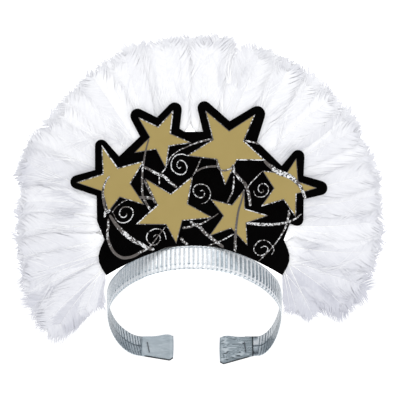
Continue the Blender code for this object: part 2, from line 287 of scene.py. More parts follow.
def tab_foil():
    """Smooth blue-silver foil with soft wrinkles, random streaks, and painted shade and highlights from its
    shade attribute.
    """
    finish = Finish("tab_foil_smooth", (0.42, 0.5, 0.55), 0.4, 0.5)
    shade = finish.attribute("shade")
    streak = finish.noise(90.0, 4.0, 0.6, (0.35, 1.0, 1.6))
    # Painted shade and highlights from the shade attribute, with random streaks on top
    painted_shade_and_streaks = finish.math("ADD", shade, finish.span(streak, 0.35, 0.65, -0.12, 0.12))
    light = finish.mix(finish.span(painted_shade_and_streaks, -0.45, 0.35), (0.85, 0.92, 0.96), (0.38, 0.45, 0.495))
    finish.colour(finish.mix(finish.span(painted_shade_and_streaks, 0.3, 0.95), light, (0.02, 0.026, 0.03)))
    finish.cloudy_gloss(140.0, 0.3, 0.5)
    finish.bump(finish.noise(300.0, 5.0, 0.65), 0.1 * MM, 0.5)
    return finish.material


def staple_steel():
    """Flat dull wire, brushed along its length."""
    finish = Finish("staple_steel", (0.1, 0.115, 0.13), 0.35, 0.8)
    brushed = finish.noise(900.0, 3.0, 0.6, (1.0, 1.0, 0.15))
    finish.colour(finish.mix(brushed, (0.06, 0.07, 0.085), (0.17, 0.19, 0.21)))
    finish.bump(brushed, 0.02 * MM, 0.5)
    return finish.material


# Shares of the print's cells painted as white glints and painted darkest, where sparkle is 1
LIT_SHARE = 0.68
DIM_SHARE = 0.25


def glitter():
    """Silver print: taupe where it is dull, with broken white glints painted where its sparkle attribute
    rises.
    """
    finish = Finish("silver_glitter", (0.15, 0.13, 0.12), 0.35)
    sparkle = finish.attribute("sparkle")
    chips = finish.cells(1050.0)
    grain = finish.noise(1500.0, 2.0)
    # Painted highlights: the higher the sparkle, the more cells are painted white glints, and some beside
    # them darkest
    lit = finish.math("ADD", finish.math("MULTIPLY", sparkle, LIT_SHARE), finish.math("SUBTRACT", chips, 1.0))
    dim = finish.math("SUBTRACT", finish.math("MULTIPLY", sparkle, DIM_SHARE), chips)
    dull = finish.mix(grain, (0.085, 0.074, 0.068), (0.13, 0.115, 0.107))
    dull = finish.mix(finish.span(dim, 0.0, 0.05), dull, (0.022, 0.019, 0.018))
    silver = finish.mix(finish.cells(2100.0), (0.42, 0.43, 0.44), (1.0, 1.0, 1.0))
    finish.colour(finish.mix(finish.span(lit, 0.0, 0.06), dull, silver))
    finish.bump(chips, 0.1 * MM, 0.5)
    return finish.material


def feather_down():
    """White vane with a faint painted glow, blue-grey where its painted shade attribute rises."""
    finish = Finish("feather_white", (0.93, 0.94, 0.965), 0.85)
    finish.shader.inputs["Specular IOR Level"].default_value = 0.15
    # Painted light: a faint glow that lifts the vanes out of their shade
    finish.glow(0.05)
    shade = finish.attribute("shade")
    streak = finish.noise(160.0, 4.0, 0.6)
    # Painted shade colours: white where unshaded, blue-grey at full shade, with random streaks mixing in a
    # greyer pair
    base = finish.mix(shade, (0.94, 0.94, 0.945), (0.575, 0.58, 0.635))
    streaked = finish.mix(shade, (0.9, 0.902, 0.915), (0.52, 0.525, 0.585))
    finish.colour(finish.mix(finish.span(streak, 0.3, 0.75), base, streaked))
    return finish.material


def cotton_tape():
    """Plain woven white tape."""
    finish = Finish("cotton_tape", (0.82, 0.82, 0.81), 0.9)
    finish.shader.inputs["Specular IOR Level"].default_value = 0.15
    weave = finish.noise(1600.0, 2.0, 0.5, (1.0, 0.3, 1.0))
    finish.colour(finish.mix(weave, (0.87, 0.87, 0.86), (0.66, 0.66, 0.655)))
    finish.bump(weave, 0.12 * MM, 0.6)
    return finish.material


def rachis_quill():
    """Smooth white shaft with a faint painted glow."""
    finish = Finish("feather_quill", (0.96, 0.96, 0.95), 0.5)
    finish.shader.inputs["Specular IOR Level"].default_value = 0.2
    finish.glow(0.06)
    finish.colour(finish.mix(finish.noise(400.0), (0.98, 0.98, 0.97), (0.9, 0.9, 0.89)))
    return finish.material


# The band

def ring_polyline():
    """Dense centre line of the band: left flat back, left quarter, front half, right quarter, right flat."""
    left_corner = RING_HALF_WIDTH - BACK_FLAT_LEFT
    right_corner = RING_HALF_WIDTH - BACK_FLAT_RIGHT
    quarter = np.linspace(0.0, math.pi / 2.0, RING_STATIONS)
    left = np.stack([-BACK_FLAT_LEFT - left_corner * np.sin(quarter), RING_BACK_DEPTH * np.cos(quarter)], 1)
    front = np.stack([-RING_HALF_WIDTH * np.cos(2.0 * quarter), -RING_FRONT_DEPTH * np.sin(2.0 * quarter)], 1)
    right = np.stack([BACK_FLAT_RIGHT + right_corner * np.cos(quarter), RING_BACK_DEPTH * np.sin(quarter)], 1)
    start = np.array([[LEFT_TAB[0] + TAB_GRIP, RING_BACK_DEPTH]])
    end = np.array([[RIGHT_TAB[0] - TAB_GRIP, RING_BACK_DEPTH]])
    return np.concatenate([start, left, front[1:-1], right, end])


def to_object(x, y, z):
    """From the ring's frame to the object's, for arrays."""
    cosine, sine = math.cos(RING_LEAN), math.sin(RING_LEAN)
    return np.stack([x, y * cosine + z * sine, -y * sine + z * cosine], -1)


def smoothstep(low, high, value):
    """0 below low, 1 above high, and a smooth step between."""
    share = np.clip((value - low) / (high - low), 0.0, 1.0)
    return share * share * (3.0 - 2.0 * share)


def near(value, middle, width):
    """1 at the middle, fading to nothing over about twice the width."""
    return np.exp(-((value - middle) / width) ** 2)


def noise_row(values, seed):
    """Smooth noise along a list of numbers."""
    return np.array([noise.noise(Vector((float(v), seed, 0.5))) for v in values])


RIB_STEPS = 8
RIB_TAPER = 1.5 * MM
GRIP_STEP = 0.4 * MM
NORMAL_REACH = 0.4 * MM
# Heights of the section's corners, up the outside and down the inside, closest at the folds
OUTER_HEIGHTS = np.array([-10.3, -10.05, -9.5, -8.9, -8.3, -7.8, -7.2, -6.7, -6.2, -5.6, -3.6, -1.0, 1.6, 4.2,
                          6.4, 7.6, 8.5, 9.0, 9.6, 10.1, 10.3]) * MM
INNER_HEIGHTS = np.array([10.2, 9.7, 8.6, 6.4, 4.2, 2.0, 0.7, 0.3, -0.1, -0.6, -2.2, -4.4, -6.6, -8.6, -9.7,
                          -10.2]) * MM
CREASE_HEIGHT = -6.2 * MM
TICK_HEIGHT = -8.9 * MM
DASH_HEIGHT = 9.0 * MM
# The ribs fade out between these two heights, and the foil thins from the third to its edge
CROWN_START = 8.6 * MM
CROWN_END = 9.8 * MM
EDGE_START = 9.9 * MM
RIM_HEIGHT = 10.2 * MM
FOOT_HEIGHT = -10.1 * MM
SEAM_HEIGHT = 0.1 * MM
STRIPE_TOP = 7.8 * MM
STRIPE_FOOT = -7.3 * MM
UPPER_SLANT = -0.8
LOWER_SLANT = -1.2
OUTER_RELIEF = 0.5 * MM
INNER_RELIEF = 0.28 * MM
CREASE_PINCH = 0.3 * MM
EDGE_THINNING = 0.28 * MM
SEAM_RISE = 0.3 * MM
INNER_LIFT = 0.15 * MM
OUTER_CRUMPLE = 0.09 * MM
INNER_CRUMPLE = 0.08 * MM
# How far round a rib, as an angle, the painted dark stripe on its flank lies on the ring's right side
FLANK_TURN = 0.9
# At the ring's two side bends the foil is pressed thin and stands a little wider at its top
BEND_FLATTENING = 0.8
LEFT_FLARE = 1.0 * MM
RIGHT_FLARE = 0.7 * MM
RIGHT_BULGE = 1.5 * MM
BAND_SEED = 11


def pillow(phase):
    """Broad rounded rib with a narrow groove, from -1 in the groove to 1 on the crest."""
    return 1.0 - 2.0 * np.abs(2.0 * (phase % 1.0) - 1.0) ** 4


def groove(phase, width):
    """1 in the groove between two ribs, 0 past that share of a rib from it."""
    away = np.minimum(phase % 1.0, 1.0 - phase % 1.0)
    return 1.0 - smoothstep(0.0, width, away)


class Band:
    """Pleated foil folded round the card strip: ribs, a lip creased in below, a seam on the inner side."""

    def __init__(self):
        """Cuts the strip into columns, a few to each rib, and works out what holds for a whole column."""
        line = ring_polyline()
        steps = np.linalg.norm(np.diff(line, axis=0), axis=1)
        walked = np.concatenate([[0.0], np.cumsum(steps)])
        length = walked[-1]
        middle = (walked[1:] + walked[:-1]) / 2.0
        share = (line[1:, 0] + line[:-1, 0]) / 2.0 / RING_HALF_WIDTH
        ribbed = steps * ((middle > TAB_GRIP) & (middle < length - TAB_GRIP))
        wide = 1.0 + RIGHT_RIB_STRETCH * smoothstep(0.28, 0.42, share) * (line[1:, 1] < 0.0)
        passed = np.concatenate([[0.0], np.cumsum(ribbed / wide)]) / RIB_PITCH
        ribs = round(passed[-1])
        passed = passed * ribs / passed[-1]
        run_x = np.maximum(np.abs(np.diff(line[:, 0])) / steps, INNER_RIB_LEAST_RUN)
        inner_passed = np.concatenate([[0.0], np.cumsum(ribbed * run_x)]) / INNER_RIB_PITCH
        first = np.argmax(passed > 0.0) - 1
        last = np.argmax(passed >= ribs - 1e-9)
        phases = np.linspace(0.0, ribs, ribs * RIB_STEPS + 1)
        distances = np.interp(phases, passed[first:last + 1], walked[first:last + 1])
        ends = np.array([0.0, TAB_GRIP * 0.5, TAB_GRIP - GRIP_STEP])
        distances = np.concatenate([ends, distances, length - ends[::-1]])
        self.distances = distances
        self.phases = np.concatenate([np.zeros(len(ends)), phases, np.zeros(len(ends))])
        self.inner_phases = np.interp(distances, walked, inner_passed)
        self.taper = smoothstep(TAB_GRIP, TAB_GRIP + RIB_TAPER, distances)
        self.taper *= smoothstep(TAB_GRIP, TAB_GRIP + RIB_TAPER, length - distances)

        def on_line(distance):
            return np.stack([np.interp(distance, walked, line[:, axis]) for axis in (0, 1)])

        x, self.y = on_line(distances)
        along = on_line(distances + NORMAL_REACH) - on_line(distances - NORMAL_REACH)
        size = np.hypot(*along)
        self.normal_x, self.normal_y = along[1] / size, -along[0] / size

        draw = np.random.default_rng(BAND_SEED)
        rib = np.floor(self.phases).astype(int)
        inner_rib = np.floor(self.inner_phases).astype(int)
        self.strength = draw.uniform(0.55, 1.0, ribs + 2)[rib]
        self.wobble = draw.uniform(-0.18, 0.18, ribs + 2)[rib]
        self.inner_strength = draw.uniform(0.55, 1.0, int(self.inner_phases[-1]) + 3)[inner_rib]

        # Masks for where the band's painted shade and painted reflections fall: stripes on the right front,
        # shade over the left front (whose ribs are also flatter), the bends, and darker groove lines on the
        # left
        side = x / RING_HALF_WIDTH
        front = self.y < 0.0
        self.right_flank = smoothstep(0.05, 0.3, side) * front
        self.far_right = smoothstep(0.55, 0.8, side)
        self.left_haze = smoothstep(0.3, 0.62, -side) * front
        self.right_bend = smoothstep(0.8, 0.95, side)
        self.bend = smoothstep(0.8, 0.97, np.abs(side))
        self.flat = 1.0 - BEND_FLATTENING * smoothstep(0.84, 0.97, np.abs(side))
        self.flare = (1.0 - self.flat) * np.where(x > 0.0, RIGHT_FLARE, LEFT_FLARE)
        self.line_level = 0.5 + 0.4 * smoothstep(0.08, 0.25, -side)
        self.x = x + RIGHT_BULGE * smoothstep(0.6, 0.97, side)

    def place(self, out, height):
        """A row of points that stand out from the strip's middle at a height."""
        x = self.x + self.normal_x * out
        return to_object(x, self.y + self.normal_y * out, np.full_like(x, height))

    def tuck(self, height):
        """How far the lip leans in below its crease."""
        share = np.clip((CREASE_HEIGHT - height) / (BAND_HALF + CREASE_HEIGHT), 0.0, 1.0)
        return LIP_TUCK * share * self.taper * self.flat

    def outer_row(self, height):
        """Points and shades round the outside at a height."""
        lip = 1.0 - smoothstep(CREASE_HEIGHT - 0.5 * MM, CREASE_HEIGHT + 0.5 * MM, height)
        crown = smoothstep(CROWN_START, CROWN_END, height)
        relief = OUTER_RELIEF * pillow(self.phases) * self.taper * (1.0 - 0.35 * lip) * (1.0 - 0.55 * crown)
        relief = relief * (1.0 - 0.5 * self.left_haze) * self.flat
        pinch = near(height, CREASE_HEIGHT, 0.5 * MM) + near(height, DASH_HEIGHT, 0.45 * MM)
        pinch = CREASE_PINCH * pinch * self.taper
        edge = EDGE_THINNING * smoothstep(EDGE_START, BAND_HALF, abs(height))
        crumple = OUTER_CRUMPLE * noise_row(self.distances / MM * 0.9, height / MM * 0.7)
        out = (BAND_WALL / 2.0 - pinch - edge) * (0.4 + 0.6 * self.flat) + relief - self.tuck(height)
        out = out + crumple * self.taper + self.flare * height / BAND_HALF

        # Painted shade in the grooves between the ribs
        lines = groove(self.phases, 0.18) * self.strength * self.line_level * (1.0 - 0.45 * lip)
        lines = lines * (1.0 - 0.7 * self.left_haze) * (1.0 - 0.8 * self.right_flank)
        # Painted reflection: a dark stripe down one flank of each rib on the ring's right front
        turned = np.cos(2.0 * math.pi * self.phases - FLANK_TURN)
        stripe = smoothstep(-0.3, 0.4, turned)
        stripe = stripe * (1.0 - smoothstep(STRIPE_TOP - 0.8 * MM, STRIPE_TOP + 0.4 * MM, height))
        stripe = stripe * smoothstep(STRIPE_FOOT - 0.4 * MM, STRIPE_FOOT + 0.8 * MM, height)
        depth = 0.4 + 0.2 * self.strength + 0.12 * self.far_right - 0.12 * height / BAND_HALF
        flank = self.right_flank * stripe * depth
        # Painted shade ticks at the foot of those stripes
        tick = self.right_flank * near(height, TICK_HEIGHT, 0.55 * MM) * smoothstep(0.2, 0.7, turned)
        tick = tick * (0.5 + 0.4 * self.strength)
        # Painted shade over the ring's left front
        haze = self.left_haze * (0.3 + 0.3 * self.wobble) * (1.0 - 0.4 * lip)
        # Painted shade along the top edge on the left front and at the right bend
        brim = near(height, RIM_HEIGHT, 0.45 * MM)
        brim = brim * np.maximum(0.6 * self.left_haze, 0.75 * self.right_bend)
        # Painted shade dashes along the pinch under the top edge
        dash = near(height, DASH_HEIGHT, 0.5 * MM) * (1.0 - groove(self.phases, 0.32))
        dash = dash * (0.35 + 0.55 * self.strength)
        # Painted shade dots in the grooves at the lip's crease
        dots = near(height, CREASE_HEIGHT, 0.6 * MM) * groove(self.phases - self.wobble, 0.34) * 0.9
        dots = dots * (1.0 - self.right_flank)
        # Painted shade along the bottom edge, darker in the grooves
        foot = near(height, FOOT_HEIGHT, 0.5 * MM) * (0.2 + 0.6 * groove(self.phases, 0.3))
        shade = np.maximum.reduce([lines, flank, tick, dash, dots, foot, brim]) + haze
        return self.place(out, height), np.clip(shade, 0.0, 1.0) * self.taper

    def inner_row(self, height):
        """Points and shades round the inside at a height."""
        left = self.x < 0.0
        slant = (UPPER_SLANT if height > SEAM_HEIGHT else LOWER_SLANT) * (height - SEAM_HEIGHT) / BAND_HALF
        turned = self.inner_phases + slant * np.where(left, 1.0, -0.6)
        relief = -INNER_RELIEF * pillow(turned) * self.taper * self.flat
        seam = SEAM_RISE * near(height, SEAM_HEIGHT, 0.4 * MM) * self.taper * self.flat
        crumple = INNER_CRUMPLE * noise_row(self.distances / MM * 1.1, 40.0 + height / MM * 0.8)
        out = -BAND_WALL / 2.0 * (0.4 + 0.6 * self.flat) - INNER_LIFT * self.taper * self.flat
        out = out + relief + seam - self.tuck(height)
        out = out + crumple * self.taper * self.flat + self.flare * height / BAND_HALF

        # Painted shade on the inside: darker below the seam and at the bends, dark strokes along the inner
        # ribs, and dark lines along the seam and the rims
        lower = 1.0 - smoothstep(-0.6 * MM, 0.6 * MM, height)
        ridge = groove(turned, 0.34) ** 0.7 * (1.0 + 0.4 * self.bend)
        ridge = ridge * np.where(left, 0.95 + 0.3 * self.inner_strength, 0.2 + self.inner_strength)
        left_base = 0.22 + 0.25 * lower + 0.1 * self.bend + 0.1 * (self.y > 0.0)
        right_base = 0.14 + 0.05 * self.bend + (0.24 + 0.3 * self.right_bend) * lower
        base = np.where(left, left_base, right_base) + 0.4 * self.wobble
        seam_painted_shade = near(height, SEAM_HEIGHT, 0.8 * MM) * (1.05 + 0.3 * self.wobble)
        rim = (0.85 if height > 0.0 else 0.6) * near(abs(height), RIM_HEIGHT, 0.5 * MM)
        shade = np.maximum(np.maximum(base, ridge), np.maximum(seam_painted_shade, rim))
        return self.place(out, height), np.clip(shade, 0.0, 1.0)

    def build(self, material):
        """The foil as one closed loop of section, swept through the columns, with its two cut ends."""
        rows = [self.outer_row(height) for height in OUTER_HEIGHTS]
        rows += [self.inner_row(height) for height in INNER_HEIGHTS]
        points = np.stack([places for places, shades in rows], 1).reshape(-1, 3)
        shades = np.stack([shades for places, shades in rows], 1).ravel()
        quads, first, last = loop_faces(len(self.x), len(rows))
        faces = [quads[:, [0, 3, 2, 1]], first[:, ::-1], last[:, ::-1]]
        band = add_mesh("headband_foil", points, faces, material, "silver_foil", True, shade=shades)
        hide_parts("headband")


# The end tabs

TAB_COLUMNS = 80
TAB_ROWS = 60
TAB_SWELL = 0.8 * MM
TAB_DIP = 0.4 * MM
TAB_CORNER_DROP = 1.2 * MM
TAB_CHAMFER_RUN = 5.0 * MM
TAB_CHAMFER_RISE = 2.6 * MM
TAB_BOW = 0.45 * MM
TAB_EDGE_ROUND = 1.1 * MM
TAB_EDGE_WALL = 0.25 * MM
TAB_WRINKLE = 0.3 * MM
TAB_FOLD = 0.4


def wrinkled(x, z, seed, creased):
    """Height of the foil's wrinkles at each place, and the fold noise that its painted shade follows."""
    height = np.zeros_like(z)
    fold = np.zeros_like(z)
    for at in np.ndindex(z.shape):
        spot = Vector((x[at] / MM * 0.05, z[at] / MM * 0.25, seed))
        warp = noise.noise(spot * 0.9 + Vector((7.0, 0.0, 0.0)))
        fold[at] = noise.noise(Vector((spot.x * 1.3, spot.y * 2.4 + 0.8 * warp, seed + 5.0)))
        height[at] = noise.noise(spot) * 0.4 + (TAB_FOLD - min(abs(fold[at]) * 2.2, TAB_FOLD)) * creased
    return height, fold


def add_tab(name, tab, material):
    """Foil wrapped round the band's end and pressed flat: soft wrinkles and rounded folds, with a painted
    shadow line for the slot at its mouth.
    """
    mouth, free, rise, free_width, seed, creased, mouth_shade = tab
    length = abs(free - mouth)
    inward = (free - mouth) / length
    u = np.linspace(0.0, 1.0, TAB_COLUMNS)[:, None]
    v = np.linspace(0.0, 1.0, TAB_ROWS)[None, :]
    chamfer = smoothstep(1.0 - TAB_CHAMFER_RUN / length, 1.0, u)
    top = BAND_HALF + rise * u + TAB_SWELL * near(u, 0.76, 0.16) - TAB_DIP * near(u, 0.35, 0.2)
    top = top - TAB_CORNER_DROP * smoothstep(0.86, 1.0, u)
    bottom = -BAND_HALF - (free_width - rise - 2.0 * BAND_HALF) * u + TAB_CHAMFER_RISE * chamfer ** 2
    bow = TAB_BOW * np.sin(math.pi * v) * smoothstep(0.94, 1.0, u)
    x = mouth + inward * (u * length + bow)
    z = bottom + (top - bottom) * v
    half = BAND_WALL / 2.0 + TOUCH_GAP + TAB_WALL
    roll = np.minimum(np.minimum(v, 1.0 - v) * (top - bottom), (1.0 - u) * length + TAB_EDGE_WALL)
    thick = half * np.clip(1.0 - (1.0 - np.clip(roll / TAB_EDGE_ROUND, 0.0, 1.0)) ** 2, 0.0, 1.0) ** 0.5
    wrinkle, fold = wrinkled(x, z, seed, creased)
    calm = smoothstep(0.0, 0.1, u) * smoothstep(0.0, 1.4 * MM, roll)
    inner = to_object(x, RING_BACK_DEPTH - thick - TAB_WRINKLE * wrinkle * calm, z)
    outer = to_object(x, RING_BACK_DEPTH + thick + TAB_WRINKLE * wrinkle[::-1] * calm, z)

    # Painted shade and highlights: darker the more creased, a dark line at the slot's mouth, a dark bottom
    # edge, dark and light along the wrinkles, a light band by the folded end and a dark line at its edge
    low_edge = 1.0 - smoothstep(0.5 * MM, 1.5 * MM, v * (top - bottom))
    shade = 0.13 + 0.29 * creased ** 2 + mouth_shade * near(u * length, 0.3 * MM, 0.75 * MM)
    shade = np.maximum(shade, 1.05 * low_edge * smoothstep(0.02, 0.2, u))
    shade = shade + creased * 0.5 * (near(fold, 0.16, 0.07) - near(fold, 0.0, 0.09)) * calm
    shade = shade - 0.16 * near(u * length, length - 2.0 * MM, 1.2 * MM) * (1.0 - low_edge)
    shade = shade + 0.14 * near(u * length, length - 0.2 * MM, 0.5 * MM)

    side_size = TAB_COLUMNS * TAB_ROWS
    index = np.arange(side_size).reshape(TAB_COLUMNS, TAB_ROWS)
    at = index[:-1, :-1].ravel()
    grid = np.stack([at, at + TAB_ROWS, at + TAB_ROWS + 1, at + 1], 1)
    rim = np.concatenate([index[0], index[1:, -1], index[-1, -2::-1], index[-2:0:-1, 0]])
    after = np.roll(rim, -1)
    wall = np.stack([rim, after, after + side_size, rim + side_size], 1)
    faces = [grid, grid[:, ::-1] + side_size, wall]
    if inward < 0.0:
        faces = [group[:, ::-1] for group in faces]
    points = np.concatenate([inner.reshape(-1, 3), outer.reshape(-1, 3)])
    shades = np.concatenate([shade.ravel(), shade.ravel()])
    piece = add_mesh(name + "_foil", points, faces, material, "smooth_silver_foil", True, shade=shades)
    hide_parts(name)


# Silver glitter on the card: ribbons, spirals and the stars' edges. Points are photograph pixels.

def smooth_line(points, step):
    """Points on a smooth curve through the given ones, about a step apart."""
    points = np.asarray(points, float)
    padded = np.concatenate([[2.0 * points[0] - points[1]], points, [2.0 * points[-1] - points[-2]]])
    line = []
    for before, here, there, after in zip(padded, padded[1:], padded[2:], padded[3:]):
        count = max(2, round(np.linalg.norm(there - here) / step))
        for t in np.arange(count) / count:
            line.append(0.5 * (2.0 * here + (there - before) * t
                               + (2.0 * before - 5.0 * here + 4.0 * there - after) * t ** 2
                               + (3.0 * here - before - 3.0 * there + after) * t ** 3))
    line.append(points[-1])
    return np.array(line)


def on_card(points):
    """From photograph pixels to x and z on the card."""
    points = np.asarray(points, float)
    x = (points[:, 0] - MIDDLE_COLUMN) * PIXEL
    z = (MIDDLE_ROW - points[:, 1]) * PIXEL + MIDDLE_ROW_HEIGHT
    return np.stack([x, z], 1)


